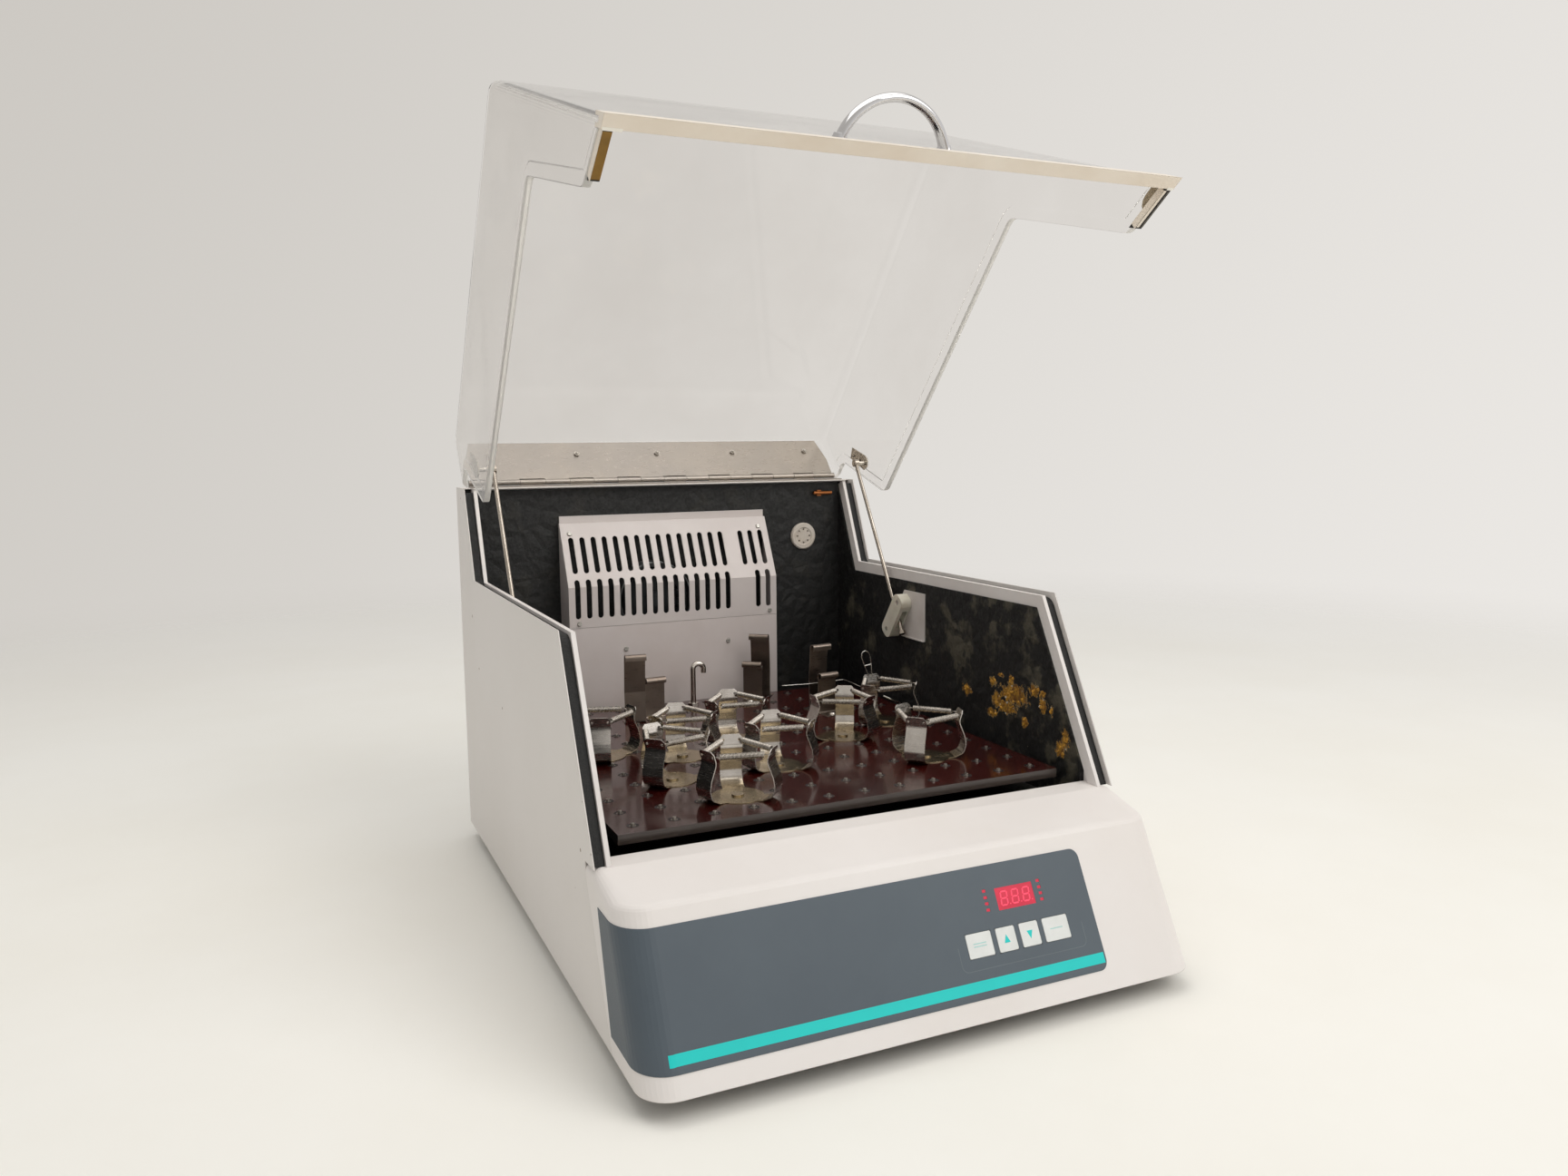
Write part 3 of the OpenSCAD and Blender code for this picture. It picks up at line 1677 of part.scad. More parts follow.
// a folded strip under two rivets on the lid's rim band, with the stud at its lower corner
module stay_lid_brackets() {
  rim_up = unit(RIM_B - rim_raw[1]);
  out = [rim_up[1], -rim_up[0]];
  color("silver")
    swung_open()
      mirrored_x() {
        along_x(clip_x - clip_t, clip_x)
          polygon([STUD + [-7, -3], STUD + [0, -7.5], STUD + [9, -4],
              STUD + 40 * rim_up + 7 * out, STUD + 40 * rim_up - 8 * out,
              STUD + [-8, 4]]);
        translate([stay_x - 3, STUD[0], STUD[1]])
          rotate([0, 90, 0])
            cylinder(r = stud_r, h = clip_x - clip_t - stay_x + 3, $fn = 32);
        for (t = [16, 33])
          translate([clip_x - clip_t - 1.2, (STUD + t * rim_up)[0],
               (STUD + t * rim_up)[1]])
            rotate([0, 90, 0])
              cylinder(r = 3, h = 1.2, $fn = 24);
      }
}

// the rod hangs from the stud by a ring and ends in a collar wider than the slot
module stay_rod() {
  translate([stay_x, STUD_OPEN[0], STUD_OPEN[1]]) {
    difference() {
      union() {
        translate([-3, 0, 0])
          rotate([0, 90, 0])
            cylinder(r = ball_r, h = 6, $fn = 32);
        rotate([rod_angle - 90, 0, 0])
          cylinder(r = rod_r, h = rod_len, $fn = 24);
      }
      translate([-9, 0, 0])
        rotate([0, 90, 0])
          cylinder(r = stud_r + 0.05, h = 20, $fn = 32);
    }
    rotate([rod_angle - 90, 0, 0])
      translate([0, 0, rod_len])
        cylinder(r = rod_r + 1.9, h = 4, $fn = 24);
  }
}

module stay_rod_left() {
  color("silver")
    mirror([1, 0, 0])
      stay_rod();
}

module stay_rod_right() {
  color("silver")
    stay_rod();
}

GUIDE_MID = [115.2, 276.4];
guide_turn = atan2(-0.808, 0.589);
guide_l = 62;
guide_w = 22;
guide_x0 = stay_x - 8.5;
guide_x1 = foam_x - 1.5;
slot_l = 29;
bolt_at = 22.5;

// local x runs along the guide block, y across it, z towards the right wall
module on_guide(x) {
  translate([x, GUIDE_MID[0], GUIDE_MID[1]])
    rotate([90, 0, 90])
      rotate([0, 0, guide_turn])
        children();
}

module stay_guides() {
  color("whitesmoke")
    mirrored_x()
      difference() {
        on_guide(guide_x0)
          linear_extrude(guide_x1 - guide_x0)
            rounded(guide_l, guide_w, 8);
        on_guide(stay_x - 3.5)
          translate([-slot_l / 2 - 2, -guide_w, 0])
            cube([slot_l, guide_w * 2, 7]);
        for (t = [-bolt_at, bolt_at])
          on_guide(guide_x0 - 1)
            translate([t, 0, 0]) {
              cylinder(r = 3.2, h = 4, $fn = 24);
              cylinder(r = 1.8, h = 40, $fn = 24);
            }
      }
}

// white plates on the chamber walls, folded out along the lower edge
module stay_wall_plates() {
  color("whitesmoke")
    mirrored_x() {
      along_x(foam_x - 1.5, foam_x)
        polygon([[61, 250], [61, 309], [109, 309], [142, 262], [142, 250]]);
      block([foam_x - 3, 61, 250], [foam_x, 104, 251.5]);
    }
}

// every visible fixing of the cabinet, and the bolts of the stay guides
module cabinet_screws() {
  color("silver") {
    for (p = COVER_SCREWS)
      translate([p[0], p[1], p[2]])
        rotate([p[3], 0, 0])
          pan_head(3.2, 2);
    mirrored_x()
      for (t = [-bolt_at, bolt_at])
        on_guide(guide_x0 + 1)
          translate([t, 0, 0]) {
            cylinder(r = 3, h = 2, $fn = 24);
            cylinder(r = 1.7, h = guide_x1 - guide_x0 - 1, $fn = 24);
          }
    for (x = [-half_w + 12, half_w - 12], z = [60, 230, rear_h - 41.5])
      translate([x, back_y, z])
        rotate([-90, 0, 0])
          pan_head(3.2, 2);
  }
}

module pan_head(r, h) {
  difference() {
    cylinder(r1 = r, r2 = r * 0.7, h = h, $fn = 24);
    translate([-r, -0.4, h * 0.6])
      cube([2 * r, 0.8, h]);
  }
}

slant_tilt = 90 - atan2(cover_crown[0] - cover_bend[0], cover_crown[1] - cover_bend[1]);
function on_slant(x, z) = let (t = (z - cover_bend[1]) / (cover_crown[1] - cover_bend[1]))
  [x, cover_bend[0] + t * (cover_crown[0] - cover_bend[0]), z, slant_tilt];
COVER_SCREWS = [on_slant(-136, 382.5), on_slant(118.5, 382.5),
  [-134.5, cover_bend[0], 273.5, 90], [121.3, cover_bend[0], 273.5, 90],
  [-76, cover_bend[0], 238, 90], [61.7, cover_bend[0], 237.7, 90]];

left_side_panel();
right_side_panel();
rear_cover();
base_pan();
front_bezel();
chamber_liner();
wall_insulation();
chamber_floor();
channel_weatherstrips();
rubber_feet();
cabinet_screws();
control_overlay();
display_window();
key_start_stop();
key_up();
key_down();
key_select();
display_board();
control_board();
power_inlet();
power_rocker();
blower_cover();
blower_lower_panel();
blower_housing();
blower_impeller();
blower_motor();
heater_element();
temperature_probe();
vent_plug();
drive_frame();
shaft_bearings();
main_crankshaft();
counterweight();
driven_pulley();
drive_belt();
drive_motor();
motor_pulley();
idler_crank_left();
idler_crank_right();
carrier_plate();
carrier_bearings();
platform();
platform_screws();
flask_clamps();
clamp_springs();
rack_clips();
hook_rod();
hinge_body_leaf();
hinge_lid_leaf();
hinge_pin();
lid_shell();
lid_front_trim();
lid_gasket();
lid_handle();
lid_screws();
stay_lid_brackets();
stay_rod_left();
stay_rod_right();
stay_guides();
stay_wall_plates();
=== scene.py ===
"""Looks of the incubated benchtop shaker: finishes for its CAD pieces, and its fine pieces.

Sizes are in millimetres in the shaker's own frame, until mm() turns them into metres.
"""

import math
import random
from functools import reduce

import bpy
from mathutils import Matrix, Vector


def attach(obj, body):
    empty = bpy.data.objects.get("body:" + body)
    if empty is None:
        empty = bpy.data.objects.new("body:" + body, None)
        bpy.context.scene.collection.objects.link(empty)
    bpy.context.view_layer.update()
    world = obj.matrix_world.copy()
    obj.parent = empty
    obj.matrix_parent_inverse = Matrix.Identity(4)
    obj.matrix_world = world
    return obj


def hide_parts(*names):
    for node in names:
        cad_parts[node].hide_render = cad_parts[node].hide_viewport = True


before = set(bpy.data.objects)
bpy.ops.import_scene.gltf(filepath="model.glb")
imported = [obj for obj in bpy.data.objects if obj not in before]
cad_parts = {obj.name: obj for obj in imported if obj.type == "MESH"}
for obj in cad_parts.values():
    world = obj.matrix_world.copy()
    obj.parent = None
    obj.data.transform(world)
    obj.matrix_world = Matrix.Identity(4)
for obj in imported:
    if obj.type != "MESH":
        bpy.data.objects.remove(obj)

bl_info = {
    "name": "Incubated benchtop shaker",
    "version": (1, 0, 0),
    "blender": (4, 5, 0),
    "location": "3D View > Sidebar > Shaker",
    "description": "Finishes and fine pieces for a benchtop incubator with a shaking platform",
    "category": "Object",
}

CABINET = "cabinet"
PLATFORM = "shaking_platform"
LID = "lid"

PLATFORM_TOP = 165.6
PLATFORM_Y = 12.7
HOLE_PITCH = 38.1
HOLE_COUNT = 12
INSERT_R = 3.2
# outer radius of the dark ring round each open hole: painted shade standing in for a countersink
SHADE_RING_R = 5.6
GLINT_R = 1.8
GLINT_TOP = 2.2

# column and row of each clamp's hole, with the turn of its arms
CLAMPS = [(3, 1, 77), (2, 3, 104), (5, 3, 78), (9, 2, 102), (3, 5, 81),
          (8, 5, 59), (1, 6, 12), (5, 6, 81), (10, 6, 88)]
CLAMP_H = 50
TAB_MID = 35.12
EYE_X = 7.95
HOOK = 7

# top edge and slope of the control panel, in (y, z)
PANEL_TOP = Vector((-318, 142.7))
PANEL_DOWN = Vector((-0.46224, -0.88679))
PANEL_OUT = Vector((-0.88679, 0.46224))
OVERLAY_T = 0.5
PRINT_FROM = OVERLAY_T + 0.02
PRINT_TO = OVERLAY_T + 0.1
STRIPE_TO = OVERLAY_T + 0.14
STRIPE_S = 112.5
CORNER_X = -234
CORNER_R = 28
KEY_X = (30.5, 60.7, 84.9, 109.1)
KEY_W = (25, 19, 19, 26.2)
KEY_S = 80
KEY_TOP = 0.9
WINDOW = (89.3, 46.8)
LAMP_S = (37.9, 43.4, 48.6, 53.9)
LAMP_DEPTH = 6

HINGE = Vector((315, 446.5))
LID_OPEN = 48.4
LID_FOOT = Vector((-312, 151.1))
FRONT_DIR = Vector((0.3917, 0.9201))
FRONT_OUT = Vector((-0.9201, 0.3917))
DECK_FOLD = Vector((-260, 155))
DECK_DIR = Vector((-0.978, -0.2074))
DECK_UP = Vector((-0.2074, 0.978))
WALL_X = 244.2


def mm(point):
    """A point in millimetres as a point in metres."""
    return Vector(point) * 0.001


def srgb(red, green, blue):
    """A colour seen as 0 to 255 on a screen, in the linear numbers of the shaders."""
    def linear(c):
        c /= 255
        return c / 12.92 if c <= 0.04045 else ((c + 0.055) / 1.055) ** 2.4
    return (linear(red), linear(green), linear(blue))


def rgba(colour):
    return (colour[0], colour[1], colour[2], 1)


# Settings that a user would change

def colour_setting(name, description, default):
    return bpy.props.FloatVectorProperty(
        name=name, description=description, default=default,
        subtype="COLOR", size=3, min=0, max=1)


def length_setting(name, description, default, low, high):
    return bpy.props.FloatProperty(
        name=name, description=description, default=default * 0.001,
        min=low * 0.001, max=high * 0.001, subtype="DISTANCE", unit="LENGTH", precision=5)


def share_setting(name, description, default):
    return bpy.props.FloatProperty(
        name=name, description=description, default=default, min=0, max=1, subtype="FACTOR")


class CabinetSettings(bpy.types.PropertyGroup):
    """Colours of the cabinet and its chamber."""

    paint: colour_setting("Paint", "Paint of the steel panels", srgb(224, 219, 215))
    bezel: colour_setting("Bezel", "Moulded front bezel", srgb(231, 226, 223))
    band: colour_setting("Rim band", "White band round the chamber's edge", srgb(226, 221, 218))
    insulation: colour_setting("Insulation", "Black skin of the wall foam", srgb(5, 5, 5))
    # the mottle is partly a real olive grey film and partly a painted sheen of light on the
    # crinkled skin
    mottle_and_sheen: colour_setting("Mottle", "Olive grey film on the insulation", srgb(74, 70, 58))
    foam: colour_setting("Bare foam", "Foam where the skin is torn away", srgb(206, 152, 52))
    wear: share_setting("Wear", "Amount of marks and worn edges", 0.5)


class PanelSettings(bpy.types.PropertyGroup):
    """Colours and small sizes of the control panel."""

    skin: colour_setting("Skin", "Slate skin of the control panel", srgb(74, 84, 93))
    stripe: colour_setting("Stripe", "Long stripe and the key signs", srgb(0, 204, 199))
    key: colour_setting("Keys", "Key caps", srgb(226, 228, 226))
    window: colour_setting("Window", "Red display window and lamps", srgb(196, 24, 58))
    digit: colour_setting("Digits", "Bars of the display's digits", srgb(236, 66, 98))
    stripe_from: length_setting("Stripe from", "Left end of the stripe", -239.3, -250, 0)
    stripe_to: length_setting("Stripe to", "Right end of the stripe", 163.4, 0, 164.5)
    stripe_w: length_setting("Stripe width", "Width of the stripe", 9, 4, 14)


class PlatformSettings(bpy.types.PropertyGroup):
    """Colours and spring sizes on the shaking platform."""

    board: colour_setting("Platform", "Glossy face of the platform", srgb(50, 11, 8))
    board_edge: colour_setting("Platform edge", "Sawn edge of the platform", srgb(70, 60, 54))
    steel: colour_setting("Clamp steel", "Polished steel of the clamps", srgb(205, 200, 194))
    base_tint: colour_setting("Clamp base", "Tan tint on the clamp bases", srgb(180, 164, 134))
    clip: colour_setting("Clip steel", "Satin steel of the rack clips", srgb(136, 125, 116))
    wire_r: length_setting("Spring wire", "Radius of the spring wire", 0.45, 0.3, 0.5)
    coil_r: length_setting("Spring coil", "Radius of the coil's middle line", 2.75, 2.5, 2.85)
    curls: bpy.props.IntProperty(
        name="Curls", description="Curls in each spring", default=39, min=20, max=44)


class LidSettings(bpy.types.PropertyGroup):
    """Colours of the lid and its hardware."""

    acrylic: colour_setting("Acrylic", "Tint of the clear lid", srgb(250, 249, 248))
    trim: colour_setting("Trim", "Cream strip along the front edge", srgb(240, 230, 216))
    residue: colour_setting("Residue", "Old glue on the right return", srgb(176, 160, 132))
    tape: colour_setting("Tape", "Brown backing left on the left return", srgb(150, 112, 46))
    leaf: colour_setting("Hinge leaf", "Satin steel of the hinge", srgb(146, 140, 134))
    chrome: colour_setting("Handle", "Chromed bow handle", srgb(214, 214, 216))


class StageSettings(bpy.types.PropertyGroup):
    """Light and surroundings."""

    floor: colour_setting("Floor", "Pale floor", srgb(248, 246, 240))
    key_power: bpy.props.FloatProperty(
        name="Key light", description="Power of the large light at the front right",
        default=46, min=0, unit="POWER")
    top_power: bpy.props.FloatProperty(
        name="Top light", description="Power of the light overhead",
        default=30, min=0, unit="POWER")
    ambient: bpy.props.FloatProperty(
        name="Ambient", description="Strength of the light from all round",
        default=0.5, min=0, max=2)


SETTINGS = {
    "shaker_cabinet": CabinetSettings,
    "shaker_panel": PanelSettings,
    "shaker_platform": PlatformSettings,
    "shaker_lid": LidSettings,
    "shaker_stage": StageSettings,
}


# Shader nodes

def add(tree, kind, inputs=None, **settings):
    """A node with its settings; an input is a plain value or another node's socket."""
    made = tree.nodes.new(kind)
    for key, value in settings.items():
        setattr(made, key, value)
    for key, value in (inputs or {}).items():
        if isinstance(value, bpy.types.NodeSocket):
            tree.links.new(value, made.inputs[key])
        else:
            made.inputs[key].default_value = value
    return made


def math_node(tree, operation, a, b=0.0, c=0.0):
    return add(tree, "ShaderNodeMath", {0: a, 1: b, 2: c}, operation=operation).outputs[0]


def over_all(tree, operation, *values):
    """One operation over two or more values, from the first on."""
    return reduce(lambda a, b: math_node(tree, operation, a, b), values)


def dot(tree, a, b):
    return add(tree, "ShaderNodeVectorMath", {0: a, 1: b},
               operation="DOT_PRODUCT").outputs["Value"]


def axis(tree, vector, name):
    return add(tree, "ShaderNodeSeparateXYZ", {"Vector": vector}).outputs[name]


def ramp(tree, value, low, high, to_low=0.0, to_high=1.0):
    """The value between low and high, spread over to_low to to_high."""
    return add(tree, "ShaderNodeMapRange", {
        "Value": value, "From Min": low, "From Max": high,
        "To Min": to_low, "To Max": to_high}).outputs["Result"]


def mix_colour(tree, share, first, second):
    made = add(tree, "ShaderNodeMix", data_type="RGBA")
    for socket, value in ((made.inputs[0], share), (made.inputs[6], first),
                          (made.inputs[7], second)):
        if isinstance(value, bpy.types.NodeSocket):
            tree.links.new(value, socket)
        else:
            socket.default_value = value
    return made.outputs[2]


def place_of(tree):
    """Where a point is on the piece, in metres."""
    return add(tree, "ShaderNodeTexCoord").outputs["Object"]


def seen_directly(tree):
    """1 for what the camera sees by itself, in a gloss or through clear stuff."""
    ray = add(tree, "ShaderNodeLightPath")
    return over_all(tree, "MAXIMUM", *(ray.outputs[f"Is {kind} Ray"] for kind in (
        "Camera", "Glossy", "Transmission")))


def start_group(name, inputs, outputs):
    """A node group with named sockets, its input node and its output node."""
    group = bpy.data.node_groups.new(name, "ShaderNodeTree")
    kinds = {"f": "NodeSocketFloat", "c": "NodeSocketColor", "v": "NodeSocketVector"}
    for socket, kind in inputs:
        group.interface.new_socket(socket, in_out="INPUT", socket_type=kinds[kind])
    for socket, kind in outputs:
        group.interface.new_socket(socket, in_out="OUTPUT", socket_type=kinds[kind])
    return group, group.nodes.new("NodeGroupInput"), group.nodes.new("NodeGroupOutput")


def build_tone_drift():
    """Slow change of tone over a surface, from one colour to another."""
    group, given, out = start_group(
        "Tone Drift",
        [("Color", "c"), ("Tint", "c"), ("Scale", "f"), ("Amount", "f")],
        [("Color", "c"), ("Mask", "f")])
    noise = add(group, "ShaderNodeTexNoise", {
        "Vector": place_of(group), "Scale": given.outputs["Scale"],
        "Detail": 5, "Roughness": 0.6})
    share = math_node(group, "MULTIPLY", ramp(group, noise.outputs["Fac"], 0.38, 0.7),
                      given.outputs["Amount"])
    mixed = mix_colour(group, share, given.outputs["Color"], given.outputs["Tint"])
    group.links.new(mixed, out.inputs["Color"])
    group.links.new(share, out.inputs["Mask"])


def build_specks():
    """Scattered small marks: chips, dust grains, pits."""
    group, given, out = start_group(
        "Specks",
        [("Color", "c"), ("Speck Color", "c"), ("Scale", "f"), ("Size", "f"), ("Share", "f")],
        [("Color", "c"), ("Mask", "f")])
    cells = add(group, "ShaderNodeTexVoronoi", {
        "Vector": place_of(group), "Scale": given.outputs["Scale"], "Randomness": 1.0})
    chance = add(group, "ShaderNodeSeparateColor", {"Color": cells.outputs["Color"]})
    near = math_node(group, "LESS_THAN", cells.outputs["Distance"], math_node(
        group, "MULTIPLY", given.outputs["Size"], chance.outputs["Green"]))
    chosen = math_node(group, "LESS_THAN", chance.outputs["Red"], given.outputs["Share"])
    mask = math_node(group, "MULTIPLY", near, chosen)
    mixed = mix_colour(group, mask, given.outputs["Color"], given.outputs["Speck Color"])
    group.links.new(mixed, out.inputs["Color"])
    group.links.new(mask, out.inputs["Mask"])


def build_soft_edges():
    """A small round on every sharp edge, and a mask that is 1 along those edges."""
    group, given, out = start_group(
        "Soft Edges", [("Radius", "f")], [("Normal", "v"), ("Edge", "f")])
    bevel = add(group, "ShaderNodeBevel", {"Radius": given.outputs["Radius"]}, samples=4)
    true = add(group, "ShaderNodeNewGeometry").outputs["Normal"]
    turned = dot(group, bevel.outputs[0], true)
    group.links.new(bevel.outputs[0], out.inputs["Normal"])
    group.links.new(ramp(group, turned, 0.995, 0.8), out.inputs["Edge"])


def build_grain():
    """Fine height over a surface; Stretch makes it run in one direction."""
    group, given, out = start_group(
        "Grain", [("Stretch", "v"), ("Scale", "f"), ("Detail", "f")],
        [("Height", "f")])
    along = add(group, "ShaderNodeVectorMath", {
        0: place_of(group), 1: given.outputs["Stretch"]}, operation="MULTIPLY")
    noise = add(group, "ShaderNodeTexNoise", {
        "Vector": along.outputs[0], "Scale": given.outputs["Scale"],
        "Detail": given.outputs["Detail"], "Roughness": 0.55})
    group.links.new(noise.outputs["Fac"], out.inputs["Height"])


def build_scratches():
    """Thin broken lines in two directions."""
    group, given, out = start_group(
        "Scratches", [("Scale", "f"), ("Amount", "f")], [("Mask", "f")])
    masks = []
    for turn, gate_scale in ((0.5, 9.0), (-0.9, 7.0)):
        turned = add(group, "ShaderNodeMapping", {
            "Vector": place_of(group), "Rotation": (turn, turn * 0.7, turn),
            "Scale": (1, 22, 1)})
        noise = add(group, "ShaderNodeTexNoise", {
            "Vector": turned.outputs[0], "Scale": given.outputs["Scale"], "Detail": 1})
        line = math_node(group, "COMPARE", noise.outputs["Fac"], 0.5, 0.006)
        gate = add(group, "ShaderNodeTexNoise", {
            "Vector": place_of(group), "Scale": gate_scale, "Detail": 2})
        masks.append(math_node(group, "MULTIPLY", line, math_node(
            group, "GREATER_THAN", gate.outputs["Fac"], 0.6)))
    both = over_all(group, "MAXIMUM", *masks)
    group.links.new(math_node(group, "MULTIPLY", both, given.outputs["Amount"]),
                    out.inputs["Mask"])


def build_patches():
    """Ragged patches round a centre: 1 inside, 0 outside."""
    group, given, out = start_group(
        "Ragged Patch",
        [("Center", "v"), ("Reach", "v"), ("Ragged", "f"), ("Scale", "f")],
        [("Mask", "f"), ("Rim", "f")])
    where = place_of(group)
    away = add(group, "ShaderNodeVectorMath", {0: where, 1: given.outputs["Center"]},
               operation="SUBTRACT")
    scaled = add(group, "ShaderNodeVectorMath", {0: away.outputs[0], 1: given.outputs["Reach"]},
                 operation="DIVIDE")
    length = add(group, "ShaderNodeVectorMath", {0: scaled.outputs[0]}, operation="LENGTH")
    noise = add(group, "ShaderNodeTexNoise", {
        "Vector": where, "Scale": given.outputs["Scale"], "Detail": 6, "Roughness": 0.7})
    bend = math_node(group, "MULTIPLY", math_node(
        group, "SUBTRACT", noise.outputs["Fac"], 0.5), given.outputs["Ragged"])
    edge = math_node(group, "ADD", length.outputs["Value"], bend)
    group.links.new(ramp(group, edge, 1.0, 0.94), out.inputs["Mask"])
    group.links.new(math_node(group, "COMPARE", edge, 1.0, 0.05), out.inputs["Rim"])


def effect(tree, name, **inputs):
    """One of the shared effects, placed in a material; Speck_Color stands for Speck Color."""
    made = tree.nodes.new("ShaderNodeGroup")
    made.node_tree = bpy.data.node_groups[name]
    for key, value in inputs.items():
        socket = made.inputs[key.replace("_", " ")]
        if isinstance(value, bpy.types.NodeSocket):
            tree.links.new(value, socket)
        else:
            socket.default_value = value
    return made


def new_material(name):
    """A new material, its tree and its shader."""
    material = bpy.data.materials.new(name)
    material.use_nodes = True
    return material, material.node_tree, material.node_tree.nodes["Principled BSDF"]


def seen(colour):
    """A colour of 0 to 255 in the shaders' numbers; a setting as it is."""
    return srgb(*colour) if isinstance(colour, tuple) else colour


def finish(name, colour, tint=None, drift=(6, 0.4), rough=(0.4, 0.5), metallic=0.0,
           grain=(400, 0.1), stretch=(1, 1, 1), edge_r=0.6, edge_colour=None, edge_share=0.5,
           specks=None, scratch=0.0, **shader_values):
    """A material built from the shared effects.

    drift is the scale and amount of tint; rough is the range of roughness; grain is its scale
    and depth; specks is (colour, scale, size, share). Anything else is a socket of the shader.
    Returns the material, its tree, its shader and the last colour, for more layers.
    """
    material, tree, shader = new_material(name)
    shader.inputs["Metallic"].default_value = metallic
    for key, value in shader_values.items():
        shader.inputs[key.replace("_", " ")].default_value = value
    colour = seen(colour)
    tint = seen(tint) if tint else tuple(c * 0.8 for c in colour)
    toned = effect(tree, "Tone Drift", Color=rgba(colour), Tint=rgba(tint),
                   Scale=drift[0], Amount=drift[1])
    last = toned.outputs["Color"]
    edges = effect(tree, "Soft Edges", Radius=edge_r * 0.001)
    if edge_colour:
        share = over_all(tree, "MULTIPLY", edges.outputs["Edge"], edge_share,
                         ramp(tree, toned.outputs["Mask"], 0, drift[1], 0.3, 1))
        last = mix_colour(tree, share, last, rgba(seen(edge_colour)))
    if specks:
        last = effect(tree, "Specks", Color=last, Speck_Color=rgba(seen(specks[0])),
                      Scale=specks[1], Size=specks[2], Share=specks[3]).outputs["Color"]
    fine = effect(tree, "Grain", Stretch=stretch, Scale=grain[0], Detail=3)
    height = fine.outputs["Height"]
    if scratch:
        lines = effect(tree, "Scratches", Scale=14, Amount=scratch)
        height = math_node(tree, "SUBTRACT", height, lines.outputs["Mask"])
    bump = add(tree, "ShaderNodeBump", {
        "Strength": grain[1], "Distance": 0.0004, "Height": height,
        "Normal": edges.outputs["Normal"]})
    tree.links.new(ramp(tree, fine.outputs["Height"], 0.3, 0.7, rough[0], rough[1]),
                   shader.inputs["Roughness"])
    tree.links.new(bump.outputs[0], shader.inputs["Normal"])
    tree.links.new(last, shader.inputs["Base Color"])
    return material, tree, shader, last


def dress(material, *nodes):
    """Give a material to CAD nodes."""
    for name in nodes:
        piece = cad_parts[name]
        if not piece.material_slots:
            raise RuntimeError(f"{name} has no material slot")
        for held in piece.material_slots:
            held.material = material


def coat(nodes, name, colour, **look):
    """A finish given to CAD nodes, whose names have spaces between."""
    material = finish(name, colour, **look)[0]
    dress(material, *nodes.split())
    return material


# Small pieces in mesh code

def new_object(name, data):
    made = bpy.data.objects.new(name, data)
    bpy.context.scene.collection.objects.link(made)
    return made


def add_piece(name, points, faces, body, material, slot=None, smooth=False):
    """A new mesh piece in metres, carried by a body."""
    mesh = bpy.data.meshes.new(name)
    mesh.from_pydata([tuple(p) for p in points], [], faces)
    mesh.validate()
    mesh.materials.append(material)
    if smooth:
        mesh.polygons.foreach_set("use_smooth", [True] * len(mesh.polygons))
    piece = new_object(name, mesh)
    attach(piece, body)
    return piece


def slab(outline, place, low, high):
    """Points and faces of an outline drawn out from low to high; place maps (a, b, h) to mm."""
    count = len(outline)
    points = [mm(place(a, b, low)) for a, b in outline]
    points += [mm(place(a, b, high)) for a, b in outline]
    faces = [tuple(range(count - 1, -1, -1)), tuple(range(count, 2 * count))]
    faces += [(i, (i + 1) % count, count + (i + 1) % count, count + i) for i in range(count)]
    return points, faces


def band(left, right, place, low, high):
    """A strip between two lines of points, drawn out from low to high."""
    count = len(left)
    points, faces = [], []
    for height in (low, high):
        points += [mm(place(a, b, height)) for a, b in left]
        points += [mm(place(a, b, height)) for a, b in right]
    up = 2 * count
    for i in range(count - 1):
        a, b, c, d = i, i + 1, count + i + 1, count + i
        faces += [(a, d, c, b), (up + a, up + b, up + c, up + d),
                  (a, b, up + b, up + a), (d, up + d, up + c, c)]
    last = count - 1
    faces += [(0, up, up + count, count),
              (last, count + last, up + count + last, up + last)]
    return points, faces


def joined(parts):
    """Several (points, faces) as one."""
    points, faces = [], []
    for some_points, some_faces in parts:
        start = len(points)
        points += some_points
        faces += [tuple(start + i for i in face) for face in some_faces]
    return points, faces


def tube(path, radius, sides=8, taper=None):
    """Points and faces of a round wire along a path in mm."""
    points, faces = [], []
    last = len(path) - 1
    side = None
    for i, middle in enumerate(path):
        along = (path[min(i + 1, last)] - path[max(i - 1, 0)]).normalized()
        if side is None:
            side = along.orthogonal().normalized()
        side = (side - along * side.dot(along)).normalized()
        up = along.cross(side)
        r = radius * (taper[i] if taper else 1)
        for k in range(sides):
            angle = 2 * math.pi * k / sides
            points.append(mm(middle + r * (side * math.cos(angle) + up * math.sin(angle))))
    for i in range(last):
        for k in range(sides):
            a, b = i * sides + k, i * sides + (k + 1) % sides
            faces.append((a, b, b + sides, a + sides))
    faces.append(tuple(range(sides - 1, -1, -1)))
    faces.append(tuple(last * sides + k for k in range(sides)))
    return points, faces


def ring_tube(radius, hole_r, low, high, centre, sides=20):
    """A short round tube standing on Z."""
    points, faces = [], []
    for r, z in ((radius, low), (radius, high), (hole_r, high), (hole_r, low)):
        for k in range(sides):
            angle = 2 * math.pi * k / sides
            points.append(mm((centre[0] + r * math.cos(angle),
                              centre[1] + r * math.sin(angle), z)))
    for row in range(4):
        for k in range(sides):
            a, b = row * sides + k, row * sides + (k + 1) % sides
            c, d = ((row + 1) % 4) * sides + k, ((row + 1) % 4) * sides + (k + 1) % sides
            faces.append((a, b, d, c))
    return points, faces


def rounded_rectangle(x0, x1, s0, s1, r, steps=5):
    """Corner points of a rectangle with round corners."""
    outline = []
    for cx, cs, start in ((x1 - r, s1 - r, 0), (x0 + r, s1 - r, 90),
                          (x0 + r, s0 + r, 180), (x1 - r, s0 + r, 270)):
        for i in range(steps + 1):
            angle = math.radians(start + 90 * i / steps)
            outline.append((cx + r * math.cos(angle), cs + r * math.sin(angle)))
    return outline


